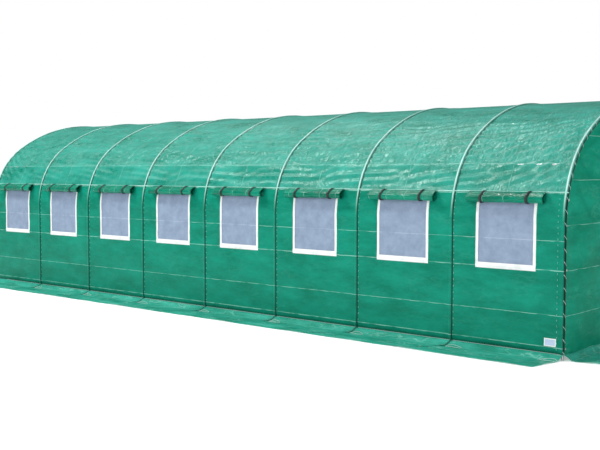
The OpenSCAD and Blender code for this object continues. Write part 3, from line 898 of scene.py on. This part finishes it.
def skirt_grid(low, high, seed, mitre_low, mitre_high, hoops):
    """A skirt as (run, out, z): run goes along the wall, out away from it. t is the length across the
    strip. The fall is a smooth step down to a small ridge at its toe. Swells and wrinkles come in where the
    strip lies flat, two tucks stand beside each hoop, and the slanted ends draw in by mitre times the
    distance out. Also returns the lengths along and across the cloth at each point."""
    run = spaced(low, high, 0.022, hoops, near_hoop[::2])
    on_fall = np.linspace(0, fall_length * 1.2, 9)
    on_ground = np.linspace(fall_length * 1.2, skirt_length, 18)
    t = np.unique(np.concatenate([on_fall, on_ground]))
    grid_t, grid_run = np.meshgrid(t, run)
    flat = step(fall_length, fall_length + 0.10, grid_t)
    share = np.clip(grid_t / fall_length, 0, 1)
    out = skirt_fall * share + np.clip(grid_t - fall_length, 0, None)
    wander = 0.5 + 0.5 * waves(grid_run, 0 * grid_t, 0.8, 1.0, seed)
    out = out - edge_wander * flat * wander * grid_t / skirt_length
    swell = np.clip(0.35 + 0.65 * waves(grid_run, grid_t, 0.42, 0.30, seed + 1), 0, None)
    z = off_ground + (skirt_height - off_ground) * (1 - step(0.0, fall_length * 1.15, grid_t))
    z = z + toe_ridge * np.exp(-(((grid_t - fall_length * 1.05) / 0.010) ** 2))
    z = z + skirt_swell * swell * flat + 0.0010 * (1 + waves(grid_run, grid_t, 0.10, 0.12, seed + 2)) * flat
    beside = grid_run[..., None] - np.asarray(hoops, float).reshape(1, 1, -1)
    tuck = np.exp(-((beside + 0.05) / 0.022) ** 2) + np.exp(-((beside - 0.05) / 0.026) ** 2)
    z = z + tuck_height * tuck.sum(axis=-1) * step(0.3, 0.9, share) * (1 - step(0.1, 0.34, grid_t))
    middle, reach = (low + high) / 2, (high - low) / 2
    past = np.clip((np.abs(grid_run - middle) - (reach - 0.5)) / 0.5, 0, 1)
    mitre = np.where(grid_run > middle, mitre_high, mitre_low)
    moved = grid_run - np.sign(grid_run - middle) * mitre * past * out
    return moved, out, z, grid_run, grid_t


def skirt_seam_and_shade(grid_run, grid_t, hoops):
    """1 on the dark line that curves back across the skirt from the foot of each hoop: partly the seam's
    thread and partly painted shade in the seam.
    """
    beside = grid_run[..., None] - np.asarray(hoops, float).reshape(1, 1, -1) - dark_line_offset
    beside = beside + 1.6 * grid_t[..., None] ** 1.6
    return np.clip(0.95 * np.exp(-((beside / 0.011) ** 4)).sum(axis=-1), 0, 1)


for side, name in ((1.0, "right"), (-1.0, "left")):
    moved, out, z, run, t = skirt_grid(-end_x, end_x, 61 if side > 0 else 73, corner_slant, corner_slant,
                                       hoop_x[1:-1])
    points = np.stack([moved, side * (half_width + out), z], axis=-1)
    if side > 0:
        points, run, t = points[::-1], run[::-1], t[::-1]
    skirt = grid_mesh(name + "_skirt_sheet", [(points, np.stack([run, t], axis=-1), None)], skirt_cloth,
                      {"slack": [np.full(t.shape, 0.8)], "seam": [skirt_seam_and_shade(run, t, hoop_x[1:-1])]})
    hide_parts(name + "_skirt")
    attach(skirt, "root")
for side, name in ((1.0, "front"), (-1.0, "back")):
    halves, slack = [], []
    for hand in (1.0, -1.0):
        moved, out, z, run, t = skirt_grid(door_half, half_width, int(83 + 5 * side + hand), doorway_slant,
                                           corner_slant, [])
        points = np.stack([side * (end_x + out), hand * moved, z], axis=-1)
        if hand * side < 0:
            points, run, t = points[::-1], run[::-1], t[::-1]
        halves.append((points, np.stack([run + 3 * hand, t], axis=-1), None))
        slack.append(np.full(t.shape, 0.8))
    skirt = grid_mesh(name + "_skirt_sheet", halves, skirt_cloth, {"slack": slack})
    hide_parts(name + "_skirt")
    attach(skirt, "root")


# ---- Window nets ----
# Fine white insect net behind each cut-out, of plain woven monofilament about 1 mm apart. It is a little
# slack, with one crease down it and one across from the way the cover was folded.
net_weave, into, out = new_group("net_weave", [("Vector", "Vector", None), ("Pitch", "Float", 0.0012)],
                                 [("Thread", "Float")])
ways = add_node(net_weave, "ShaderNodeSeparateXYZ")
net_weave.links.new(into.outputs["Vector"], ways.inputs["Vector"])
thread_masks = []
for way in "XY":
    wrapped = add_node(net_weave, "ShaderNodeMath", operation="PINGPONG")
    gap = add_node(net_weave, "ShaderNodeMath", operation="MULTIPLY")
    gap.inputs[1].default_value = 0.5
    near = add_node(net_weave, "ShaderNodeMath", operation="DIVIDE")
    mask = add_node(net_weave, "ShaderNodeMapRange", interpolation_type="SMOOTHSTEP")
    mask.inputs["From Min"].default_value = 0.25
    mask.inputs["From Max"].default_value = 0.45
    mask.inputs["To Min"].default_value = 1.0
    mask.inputs["To Max"].default_value = 0.0
    net_weave.links.new(into.outputs["Pitch"], gap.inputs[0])
    net_weave.links.new(ways.outputs[way], wrapped.inputs[0])
    net_weave.links.new(gap.outputs[0], wrapped.inputs[1])
    net_weave.links.new(wrapped.outputs[0], near.inputs[0])
    net_weave.links.new(into.outputs["Pitch"], near.inputs[1])
    net_weave.links.new(near.outputs[0], mask.inputs["Value"])
    thread_masks.append(mask)
either = add_node(net_weave, "ShaderNodeMath", operation="MAXIMUM")
net_weave.links.new(thread_masks[0].outputs["Result"], either.inputs[0])
net_weave.links.new(thread_masks[1].outputs["Result"], either.inputs[1])
net_weave.links.new(either.outputs[0], out.inputs["Thread"])

net_cloth, tree, shader = new_material("net_cloth")
cloth = add_node(tree, "ShaderNodeUVMap", uv_map="cloth")
threads = place_group(tree, net_weave, Pitch=0.0012)
soft = add_node(tree, "ShaderNodeTexNoise")
soft.inputs["Scale"].default_value = 9.0
soft.inputs["Detail"].default_value = 7.0
soft.inputs["Roughness"].default_value = 0.7
net_tone = add_node(tree, "ShaderNodeMix", data_type="RGBA")
net_tone.inputs["A"].default_value = (0.13, 0.185, 0.285, 1.0)
net_tone.inputs["B"].default_value = (0.37, 0.46, 0.61, 1.0)
net_fold = place_group(tree, folded, First=0.93, Every=once, Width=0.006)
ways = add_node(tree, "ShaderNodeSeparateXYZ")
net_pale = add_node(tree, "ShaderNodeMix", data_type="RGBA")
net_pale.inputs["B"].default_value = (0.62, 0.70, 0.82, 1.0)
fold_part = add_node(tree, "ShaderNodeMath", operation="MULTIPLY")
fold_part.inputs[1].default_value = 0.3
open_part = add_node(tree, "ShaderNodeMapRange")
open_part.inputs["To Min"].default_value = 0.86
bump = add_node(tree, "ShaderNodeBump")
bump.inputs["Distance"].default_value = 0.0002
bump.inputs["Strength"].default_value = 0.4
for group in (threads, soft, net_fold):
    tree.links.new(cloth.outputs["UV"], group.inputs["Vector"])
tree.links.new(cloth.outputs["UV"], ways.inputs["Vector"])
tree.links.new(ways.outputs["Y"], net_fold.inputs["Along"])
tree.links.new(soft.outputs["Fac"], net_tone.inputs["Factor"])
tree.links.new(net_tone.outputs["Result"], net_pale.inputs["A"])
tree.links.new(net_fold.outputs["Line"], fold_part.inputs[0])
tree.links.new(fold_part.outputs[0], net_pale.inputs["Factor"])
tree.links.new(net_pale.outputs["Result"], shader.inputs["Base Color"])
tree.links.new(threads.outputs["Thread"], open_part.inputs["Value"])
tree.links.new(open_part.outputs["Result"], shader.inputs["Alpha"])
tree.links.new(threads.outputs["Thread"], bump.inputs["Height"])
tree.links.new(bump.outputs["Normal"], shader.inputs["Normal"])
shader.inputs["Roughness"].default_value = 0.55
shader.inputs["Specular IOR Level"].default_value = 0.25

window_height = eave_s - sill_height
net_belly = 0.004
net_swell = 0.0022
net_behind = 0.0018
for side in ("left", "right"):
    for number, middle in enumerate(bay_x):
        x = np.linspace(middle - window_width / 2, middle + window_width / 2, 24)
        s = np.linspace(sill_height, eave_s, 28)
        grid_s, grid_x = np.meshgrid(s, x)
        u = (grid_x - middle) / window_width + 0.5
        v = (grid_s - sill_height) / window_height
        held = np.clip(16 * u * (1 - u) * v * (1 - v), 0, 1) ** 0.7
        blown = waves(grid_x, grid_s, 0.30, 0.35, 100 + number + (side == "left") * 20)
        slack = held * (-net_belly + net_swell * blown)
        slack = slack + held * 0.0012 * np.exp(-(((u - 0.52) / 0.02) ** 2))
        around = grid_s if side == "right" else 2 * ridge_s - grid_s
        _, _, ny, nz = on_the_arch(around)
        depth = slack - net_behind
        points = cloth_points(grid_x, around) + np.stack([0 * grid_x, ny * depth, nz * depth], axis=-1)
        if side == "left":
            points, grid_x, grid_s = points[::-1], grid_x[::-1], grid_s[::-1]
        uv = np.stack([grid_x, grid_s], axis=-1)
        net = grid_mesh(f"{side}_window_net_{number + 1}", [(points, uv, None)], net_cloth)
        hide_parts(side + "_window_nets")
        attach(net, "root")


# ---- Window tapes ----
# White polypropylene tape, sewn down over the cut edge on three sides of each window, half on the cover
# and half on the net. The one along the sill is wider.
tape_weave, tree, shader = new_material("white_tape")
cloth = add_node(tree, "ShaderNodeUVMap", uv_map="cloth")
tape_rib = place_group(tree, woven, Pitch=0.0016)
grime = add_node(tree, "ShaderNodeTexNoise")
grime.inputs["Scale"].default_value = 14.0
grime.inputs["Detail"].default_value = 6.0
tape_tone = add_node(tree, "ShaderNodeMix", data_type="RGBA")
tape_tone.inputs["A"].default_value = (0.86, 0.88, 0.88, 1.0)
tape_tone.inputs["B"].default_value = (0.68, 0.73, 0.72, 1.0)
grime_cut = add_node(tree, "ShaderNodeMapRange")
grime_cut.inputs["From Min"].default_value = 0.45
grime_cut.inputs["From Max"].default_value = 0.75
bump = add_node(tree, "ShaderNodeBump")
bump.inputs["Distance"].default_value = 0.0003
bump.inputs["Strength"].default_value = 0.5
for group in (tape_rib, grime):
    tree.links.new(cloth.outputs["UV"], group.inputs["Vector"])
tree.links.new(grime.outputs["Fac"], grime_cut.inputs["Value"])
tree.links.new(grime_cut.outputs["Result"], tape_tone.inputs["Factor"])
tree.links.new(tape_tone.outputs["Result"], shader.inputs["Base Color"])
tree.links.new(tape_rib.outputs["Height"], bump.inputs["Height"])
tree.links.new(bump.outputs["Normal"], shader.inputs["Normal"])
shader.inputs["Roughness"].default_value = 0.6

tape_width = 0.025
sill_tape_width = 0.046


def tape_grid(x, s, side):
    """A strip of tape on the cover, between the given lengths x along the tunnel and s round it. It stands
    out most along its middle, by a parabola that comes down to the cover at both edges, and ripples with
    the stitches as a sine wave in x + s."""
    grid_s, grid_x = np.meshgrid(s, x)
    around = grid_s if side == "right" else 2 * ridge_s - grid_s
    u = (grid_x - x[0]) / (x[-1] - x[0])
    v = (grid_s - s[0]) / (s[-1] - s[0])
    bulge = (4 * u * (1 - u)) if len(x) < len(s) else (4 * v * (1 - v))
    _, _, ny, nz = on_the_arch(around)
    depth = 0.0009 + 0.0007 * bulge + 0.0003 * np.sin(2 * math.pi * (grid_x + grid_s) / 0.021)
    points = cloth_points(grid_x, around, 0.0) + np.stack([0 * grid_x, ny * depth, nz * depth], axis=-1)
    uv = np.stack([grid_x, grid_s], axis=-1)
    return (points[::-1], uv[::-1], None) if side == "left" else (points, uv, None)


for side in ("left", "right"):
    strips = []
    outer = window_width / 2 + tape_width / 2
    for middle in bay_x:
        up = np.linspace(sill_height + sill_tape_width / 2 - 0.004, eave_s - 0.004, 34)
        for low in (middle - outer, middle + outer - tape_width):
            strips.append(tape_grid(np.linspace(low, low + tape_width, 5), up, side))
        strips.append(tape_grid(np.linspace(middle - outer, middle + outer, 34),
                                sill_height + sill_tape_width * np.linspace(-0.5, 0.5, 6), side))
    tapes = grid_mesh(side + "_window_tape", strips, tape_weave)
    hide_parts(side + "_window_tapes")
    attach(tapes, "root")


# ---- Window flaps ----
# A rectangle of cover cloth hangs from the eave seam over each window. It is rolled up, four turns
# outwards, and held by two straps. The roll bulges between them and gapes a little at its ends.
# The rolls' deep tone is darker than the walls' copy of the same cloth: painted shade of the rolled cloth.
flap_cloth = cover_material("flap_cloth", (0.001, 0.130, 0.076), (0.002, 0.280, 0.175), crumple_size=0.034,
                            crumple_depth=0.0022, fold_first=(once, 0.09), fold_every=(once, 0.19),
                            crease_highlight=0.10, roughness=0.15, stretch=0.6, gloss=0.15)
flap_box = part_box("right_window_flaps")
flap_width = 2 * (flap_box[1][0] - bay_x[-1])
strap_at = 0.3 * flap_width
flap_r = 0.035
roll_y = flap_box[1][1] - flap_r
roll_z = flap_box[0][2] + flap_r


def clockwise(start, turned):
    """Unit directions (n, 2) that lie clockwise of the angle start by each angle in turned: cosine and
    sine."""
    return np.stack([np.cos(start - turned), np.sin(start - turned)], axis=-1)


def rolled(centre, radius, turns, core, seam, control, start, per_turn=22):
    """The section of a sheet that leaves the point seam, bends round the control point onto the roll at the
    angle start, and winds inwards clockwise. The bend is a quadratic curve, and on the roll the radius falls
    evenly from radius to core. Returns points (n, 2), the length to each point, the angle turned and which
    points are on the roll."""
    touch = np.array(centre) + radius * np.array([math.cos(start), math.sin(start)])
    t = np.linspace(0, 1, 10)[:-1, None]
    header = (1 - t) ** 2 * np.array(seam) + 2 * t * (1 - t) * np.array(control) + t ** 2 * touch
    turned = np.linspace(0, 2 * math.pi * turns, int(turns * per_turn) + 1)
    shrink = radius + (core - radius) * turned / turned[-1]
    spiral = np.array(centre) + shrink[:, None] * clockwise(start, turned)
    points = np.concatenate([header, spiral])
    run = np.concatenate([[0.0], np.cumsum(np.linalg.norm(np.diff(points, axis=0), axis=1))])
    return points, run, np.concatenate([np.zeros(len(header)), turned]), np.arange(len(points)) >= len(header)


def roll_surface(section, turned, on_roll, centre, along, squeezed, seed, depth):
    """Sweeps a rolled section along a width. The distance from the roll's middle is multiplied by a factor:
    1, less a bell curve under each strap, plus a sine wave round the turns that fades away from the two
    ends, less coarse and fine waves up to depth. The turns also slip sideways, most at the ends."""
    reach = along[-1] - along[0]
    strap = sum(np.exp(-(((along - place) / 0.028) ** 2)) for place in squeezed)
    gape = np.exp(-(along - along[0]) / 0.03) + np.exp(-(along[-1] - along) / 0.03)
    grid_turned, grid_along = np.meshgrid(turned, along)
    grow = 1.0 - 0.075 * strap[:, None] + 0.02 * gape[:, None] * np.sin(grid_turned * 0.6 + seed)
    grow = grow - depth * (1.0 + waves(grid_along, grid_turned / 6.28, 0.11, 0.30, seed)) * 0.5
    grow = grow - 0.6 * depth * (1 + waves(grid_along, grid_turned / 6.28, 0.035, 0.22, seed + 9)) * 0.5
    offset = section[None, :, :] - np.array(centre)
    moved = np.array(centre) + offset * np.where(on_roll[None, :, None], grow[..., None], 1.0)
    from_middle = np.abs(grid_along - along.mean()) / (0.5 * reach)
    sideways = 0.0022 * np.sin(grid_turned * 0.37 + seed) * from_middle ** 6
    return moved, grid_along + sideways


def woven_material(name, dark, light, pitch, relief, roughness):
    """Webbing, zip tape or cord: a weave of the given pitch between two tones, standing out by relief."""
    made, tree, shader = new_material(name)
    cloth = add_node(tree, "ShaderNodeUVMap", uv_map="cloth")
    weave = place_group(tree, woven, Pitch=pitch)
    tone = add_node(tree, "ShaderNodeMix", data_type="RGBA")
    tone.inputs["A"].default_value = (*dark, 1.0)
    tone.inputs["B"].default_value = (*light, 1.0)
    bump = add_node(tree, "ShaderNodeBump")
    bump.inputs["Distance"].default_value = relief
    tree.links.new(cloth.outputs["UV"], weave.inputs["Vector"])
    tree.links.new(weave.outputs["Tone"], tone.inputs["Factor"])
    tree.links.new(tone.outputs["Result"], shader.inputs["Base Color"])
    tree.links.new(weave.outputs["Height"], bump.inputs["Height"])
    tree.links.new(bump.outputs["Normal"], shader.inputs["Normal"])
    shader.inputs["Roughness"].default_value = roughness
    return made


webbing = woven_material("black_webbing", (0.006, 0.008, 0.009), (0.024, 0.028, 0.030), 0.0022, 0.0004, 0.65)


def strap_grid(path, low, high, thick):
    """A band of webbing along a path in a section: (points, uv, keep) with two faces and two edges. The
    section's two directions become the second and third columns, and low and high are the band's edges along
    the first."""
    path = np.asarray(path, float)
    along = np.gradient(path, axis=0)
    along = along / np.linalg.norm(along, axis=1, keepdims=True)
    side = np.stack([along[:, 1], -along[:, 0]], axis=-1) * thick / 2
    run = np.concatenate([[0.0], np.cumsum(np.linalg.norm(np.diff(path, axis=0), axis=1))])
    corners = [(low, 1.0), (high, 1.0), (high, -1.0), (low, -1.0), (low, 1.0)]
    columns = [np.column_stack([np.full(len(path), edge), path + way * side]) for edge, way in corners]
    wide = high - low
    across = np.array([0.0, wide, wide + thick, 2 * wide + thick, 2 * (wide + thick)])
    uv = np.stack(np.broadcast_arrays(run[:, None], across[None, :]), axis=-1)
    return np.stack(columns, axis=1), uv, None


strap_half = 0.012
strap_thick = 0.0022
flap_start = math.radians(80)
seam_y, seam_z, _, _ = on_the_arch(np.array(eave_s))
seam_point = (float(seam_y) - 0.001, float(seam_z) + 0.001)
flap_bend = (float(seam_y) + 0.036, float(seam_z) - 0.001)
section, run, turned, on_roll = rolled((roll_y, roll_z), flap_r - 0.0005, 4.0, 0.012, seam_point, flap_bend,
                                       flap_start)
flap_columns = np.concatenate([np.linspace(-0.5, 0.5, 33) * flap_width, [-strap_at, strap_at]])
flap_columns = np.unique(np.round(flap_columns, 5))
loop_turn = np.linspace(0, 2 * math.pi * 0.97, 30)
strap_r = flap_r * 0.94 + 0.0012
strap_header = np.array(seam_point) + [[0.002, 0.004], [0.020, 0.003], [0.040, -0.004]]
strap_loop = (strap_r + 0.0006 * np.sin(3 * loop_turn))[:, None] * clockwise(flap_start, loop_turn)
strap_path = np.concatenate([strap_header, np.array([roll_y, roll_z]) + strap_loop])
for side, sign in (("left", -1.0), ("right", 1.0)):
    for number, middle in enumerate(bay_x):
        moved, x = roll_surface(section, turned, on_roll, (roll_y, roll_z), flap_columns + middle,
                                (middle - strap_at, middle + strap_at), 200 + number + 30 * (sign > 0), 0.07)
        points = np.stack([x, sign * moved[..., 0], moved[..., 1]], axis=-1)
        uv = np.stack(np.broadcast_arrays(x, run[None, :] + 3 * number), axis=-1)
        if sign > 0:
            points, uv = points[::-1], uv[::-1]
        bands = [strap_grid(strap_path * [sign, 1], middle + place - strap_half, middle + place + strap_half,
                            strap_thick) for place in (-strap_at, strap_at)]
        straps = grid_mesh(f"{side}_flap_strap_{number + 1}", bands, webbing)
        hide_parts(side + "_flap_straps")
        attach(straps, "root")
        flap = grid_mesh(f"{side}_window_flap_{number + 1}", [(points, uv, None)], flap_cloth,
                         {"slack": [np.full(uv.shape[:2], 1.0)]})
        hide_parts(side + "_window_flaps")
        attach(flap, "root")


# ---- Front door ----
# The door is one sheet, wider than its doorway, that zips down both sides. It is rolled up out of the
# way, eleven turns, and hangs over the doorway in two webbing straps.
roll_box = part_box("front_door_flap")
door_r = (roll_box[1][0] - end_x) / 2 - 0.0018
door_roll_x = roll_box[1][0] - door_r
door_roll_z = roll_box[0][2] + door_r
door_width = roll_box[1][1] - roll_box[0][1]
door_seam = (end_x + 0.001, roll_box[1][2] - 0.003)
door_start = math.radians(72)
door_bend = (end_x + 0.030, door_roll_z + door_r + 0.010)
section, run, turned, on_roll = rolled((door_roll_x, door_roll_z), door_r - 0.0005, 11.0, 0.007, door_seam,
                                       door_bend, door_start, 20)
door_columns = np.linspace(-0.5, 0.5, 44) * door_width
door_straps = (-0.27, 0.27)
moved, y = roll_surface(section, turned, on_roll, (door_roll_x, door_roll_z), door_columns, door_straps, 301,
                        0.05)
points = np.stack([moved[..., 0], y, moved[..., 1]], axis=-1)
uv = np.stack(np.broadcast_arrays(y, run[None, :]), axis=-1)
strap_header = [[end_x + 0.002, door_seam[1] + 0.006], [end_x + 0.014, door_seam[1] - 0.012]]
strap_loop = (door_r * 0.94 + 0.0014) * clockwise(door_start, loop_turn)
strap_path = np.concatenate([strap_header, np.array([door_roll_x, door_roll_z]) + strap_loop])
strap_grids = []
for place in door_straps:
    band, band_uv, keep = strap_grid(strap_path, place - strap_half, place + strap_half, strap_thick)
    strap_grids.append((band[..., [1, 0, 2]][::-1], band_uv[::-1], keep))
door_strap_pair = grid_mesh("front_door_strap_pair", strap_grids, webbing)
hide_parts("front_door_straps")
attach(door_strap_pair, "root")
door_roll = grid_mesh("front_door_roll", [(points, uv, None)], flap_cloth,
                      {"slack": [np.full(uv.shape[:2], 1.0)]})
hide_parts("front_door_flap")
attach(door_roll, "root")


# ---- Back door ----
# The same sheet let down and zipped shut, so it covers its doorway and laps onto the wall on both sides.
# It hangs in shallow folds from its top seam.
back_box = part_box("back_door_flap")
y = np.linspace(back_box[0][1], back_box[1][1], 50)
z = np.linspace(back_box[0][2], back_box[1][2], 80)
grid_z, grid_y = np.meshgrid(z, y)
hang = 1 - step(back_box[1][2] - 0.5, back_box[1][2], grid_z) * 0.6
from_side = step(0, 0.05, back_box[1][1] - np.abs(grid_y))
bow = 0.0018 + 0.0015 * hang * (1 + waves(grid_y, grid_z, 0.16, 1.3, 401)) * from_side
points = np.stack([back_box[1][0] - bow, grid_y, grid_z], axis=-1)
uv = np.stack([grid_y + 30, grid_z], axis=-1)
back_door = grid_mesh("back_door_sheet", [(points, uv, None)], end_cloth,
                      {"slack": [np.full(grid_y.shape, 0.7)]})
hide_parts("back_door_flap")
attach(back_door, "root")


# ---- Zips ----
# Black coil zip on woven tape, with a small ring of the same black for the slider's pull. The open doorway
# has half a zip down each side, and the closed one a whole zip.
zip_cloth = woven_material("zip_tape", (0.005, 0.006, 0.007), (0.035, 0.038, 0.042), 0.0024, 0.0006, 0.5)
coil_height = 0.0028
for name, side, coil_at in (("front_door_zips", 1.0, 0.0), ("back_door_zips", -1.0, 0.5)):
    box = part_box(name)
    face = max(abs(box[0][0]), abs(box[1][0])) - 0.0010
    width = np.array([0, 2, 4, 6, 8, 11, 14, 17, 19, 22, 26, 30]) * 1e-3
    up = np.linspace(box[0][2], box[1][2], 60)
    grid_up, grid_width = np.meshgrid(up, width)
    coil_line = 0.003 + coil_at * (zip_width - 0.006)
    coil = coil_height * np.exp(-(((grid_width - coil_line) / 0.003) ** 2))
    zips = []
    for hand in (1.0, -1.0):
        points = np.stack([side * (face + coil), hand * (door_half + grid_width), grid_up], axis=-1)
        uv = np.stack([grid_width, grid_up], axis=-1)
        zips.append((points, uv, None) if hand * side > 0 else (points[::-1], uv[::-1], None))
        pull_z = box[1][2] - 0.05 if side > 0 else box[0][2] + 0.10
        middle = hand * (door_half + coil_line)
        turn = np.linspace(0, 2 * math.pi, 15)
        ring = np.stack([np.full(15, side * (face + 0.005)), middle + 0.005 * np.cos(turn),
                         pull_z + 0.015 * np.sin(turn)], axis=-1)
        zips.append(tube_grid(ring, 0.0014, 6))
    zip_pair = grid_mesh(name.replace("zips", "zip_pair"), zips, zip_cloth)
    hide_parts(name)
    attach(zip_pair, "root")


# ---- Lacing, ties and eyelets ----
# A dark cord runs along each end hoop, held by short white stitches that pass through eyelets in the two
# sheets, drawn as rings of the same white cord. A loop of thin white cord ties the cover to the foot of each
# hoop.
# near-black: the lacing cord, and painted shade in the gap where the end wall meets the cover
lacing_cord_and_shade = woven_material("lacing_cord_and_shade", (0.004, 0.012, 0.010), (0.015, 0.035, 0.028), 0.004, 0.0005, 0.6)
white_cord = woven_material("white_cord", (0.62, 0.68, 0.66), (0.86, 0.88, 0.87), 0.003, 0.0005, 0.6)
stitch_gap = 0.1
eyelet_r = 0.0062


def rim_point(s, inset, off):
    """A point on an end of the tunnel: inset from the outside of the arch at length s, and off from the end
    wall."""
    y, z, ny, nz = on_the_arch(np.asarray(s, float))
    return np.stack([np.broadcast_to(end_x + off, y.shape), y - ny * inset, z - nz * inset], axis=-1)


for side, name in ((1.0, "front"), (-1.0, "back")):
    flip = np.array([side, 1.0, 1.0])
    s = np.arange(skirt_height, 2 * ridge_s - skirt_height, 0.02)
    beat = 2 * math.pi * s / stitch_gap
    run = rim_point(s, 0.010 + 0.0012 * np.sin(beat), 0.0028 - 0.0010 * np.cos(beat))
    lacing = grid_mesh(name + "_lacing_cord", [tube_grid(run * flip, 0.0027)], lacing_cord_and_shade)
    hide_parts(name + "_lacing")
    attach(lacing, "root")
    stitches = []
    for at in np.arange(skirt_height + 0.05, 2 * ridge_s - skirt_height, stitch_gap):
        t = np.linspace(0, 1, 9)
        y, z, ny, nz = on_the_arch(at + 0.034 * (t - 0.5))
        turn = (0.25 + 0.75 * t) * math.pi / 2
        reach = 0.0135 + 0.0045 * np.sin(math.pi * t)
        x = end_x - 0.012 + reach * np.sin(turn)
        inset = 0.012 - reach * np.cos(turn) + 0.010 * t ** 2
        stitches.append(tube_grid(np.stack([x, y - ny * inset, z - nz * inset], axis=-1) * flip, 0.0013, 6))
    for at in (0.09, sill_height, 1.25, 1.95, 2.7, ridge_s):
        for around in {at, 2 * ridge_s - at}:
            turn = np.linspace(0, 2 * math.pi, 17)
            y, z, ny, nz = on_the_arch(np.full(17, around))
            inset = 0.030 + eyelet_r * np.cos(turn)
            along = eyelet_r * np.sin(turn)
            ring = np.stack([np.full(17, end_x + 0.0012), y - ny * inset - nz * along,
                             z - nz * inset + ny * along], axis=-1)
            stitches.append(tube_grid(ring * flip, 0.0018, 6))
    stitching = grid_mesh(name + "_stitches", stitches, white_cord)
    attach(stitching, "root")

dots = []
thread_s = np.concatenate([np.arange(0.12, 1.28, 0.055), 2 * ridge_s - np.arange(0.12, 1.28, 0.055)])
thread_rows = [(x + 0.024, thread_s) for x in hoop_x[:-1]]
end_row = np.arange(0.08, 2 * ridge_s - 0.08, 0.045)
thread_rows = thread_rows + [(way * (end_x - 0.062), end_row) for way in (-1.0, 1.0)]
for place, lengths in thread_rows:
    for at in lengths:
        run = cloth_points(np.full(4, place), at + np.linspace(-0.007, 0.007, 4), 0.0009)
        dots.append(tube_grid(run, 0.0013, 4))
thread_dots = grid_mesh("thread_dots", dots, stitch_and_welt_highlight)
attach(thread_dots, "root")

chance = np.random.default_rng(17)
ties = []
for side in (1.0, -1.0):
    for place in hoop_x:
        turn = np.linspace(-math.pi / 2, 1.5 * math.pi, 29)
        wide, deep = chance.uniform(0.055, 0.085), chance.uniform(0.020, 0.032)
        x = place + 0.012 + wide * (1 + np.sin(turn)) * (1 - 2 * (place > 3.9))
        out = 0.062 + deep * (1 + np.cos(turn)) + 0.004 * np.sin(3 * turn)
        z = 0.0095 + 0.030 * np.clip(1 - out / 0.085, 0, 1) + 0.003 * np.cos(turn * 2)
        ties.append(tube_grid(np.stack([x, side * (half_width + out), z], axis=-1), 0.0014, 6))
foot_ties = grid_mesh("foot_ties", ties, white_cord)
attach(foot_ties, "root")


# ---- Label ----
# A small blank card of pale film with a white edge, sewn low on the left wall by the front corner.
label_film, tree, shader = new_material("label_film")
where = add_node(tree, "ShaderNodeTexCoord")
label_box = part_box("label")
film_grain = add_node(tree, "ShaderNodeTexNoise")
film_grain.inputs["Scale"].default_value = 40.0
film_tone = add_node(tree, "ShaderNodeMix", data_type="RGBA")
film_tone.inputs["A"].default_value = (0.46, 0.57, 0.80, 1.0)
film_tone.inputs["B"].default_value = (0.58, 0.68, 0.86, 1.0)
edge = add_node(tree, "ShaderNodeAttribute", attribute_name="edge")
film_edge = add_node(tree, "ShaderNodeMix", data_type="RGBA")
film_edge.inputs["B"].default_value = (0.88, 0.90, 0.90, 1.0)
tree.links.new(where.outputs["Object"], film_grain.inputs["Vector"])
tree.links.new(film_grain.outputs["Fac"], film_tone.inputs["Factor"])
tree.links.new(film_tone.outputs["Result"], film_edge.inputs["A"])
tree.links.new(edge.outputs["Fac"], film_edge.inputs["Factor"])
tree.links.new(film_edge.outputs["Result"], shader.inputs["Base Color"])
shader.inputs["Roughness"].default_value = 0.35
card_edge = 0.0085


def card_lines(low, high, count):
    """Even lines from low to high, with two more close together on each side where the white edge ends."""
    inside = np.array([card_edge - 0.0005, card_edge + 0.0005])
    lines = np.concatenate([np.linspace(low, high, count), low + inside, high - inside])
    return np.unique(np.round(lines, 5))


x = card_lines(label_box[0][0], label_box[1][0], 11)
z = card_lines(label_box[0][2], label_box[1][2], 8)
grid_z, grid_x = np.meshgrid(z, x)
points = cloth_points(grid_x, 2 * ridge_s - grid_z, 0.0012)
points[..., 1] -= 0.0012 * np.sin(math.pi * (grid_x - x[0]) / (x[-1] - x[0]))
border = (grid_x < x[0] + card_edge) | (grid_x > x[-1] - card_edge)
border = border | (grid_z < z[0] + card_edge) | (grid_z > z[-1] - card_edge)
card = grid_mesh("blank_label", [(points[::-1], np.stack([grid_x, grid_z], axis=-1)[::-1], None)], label_film,
                 {"edge": [border[::-1].astype(float)]})
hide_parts("label")
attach(card, "root")
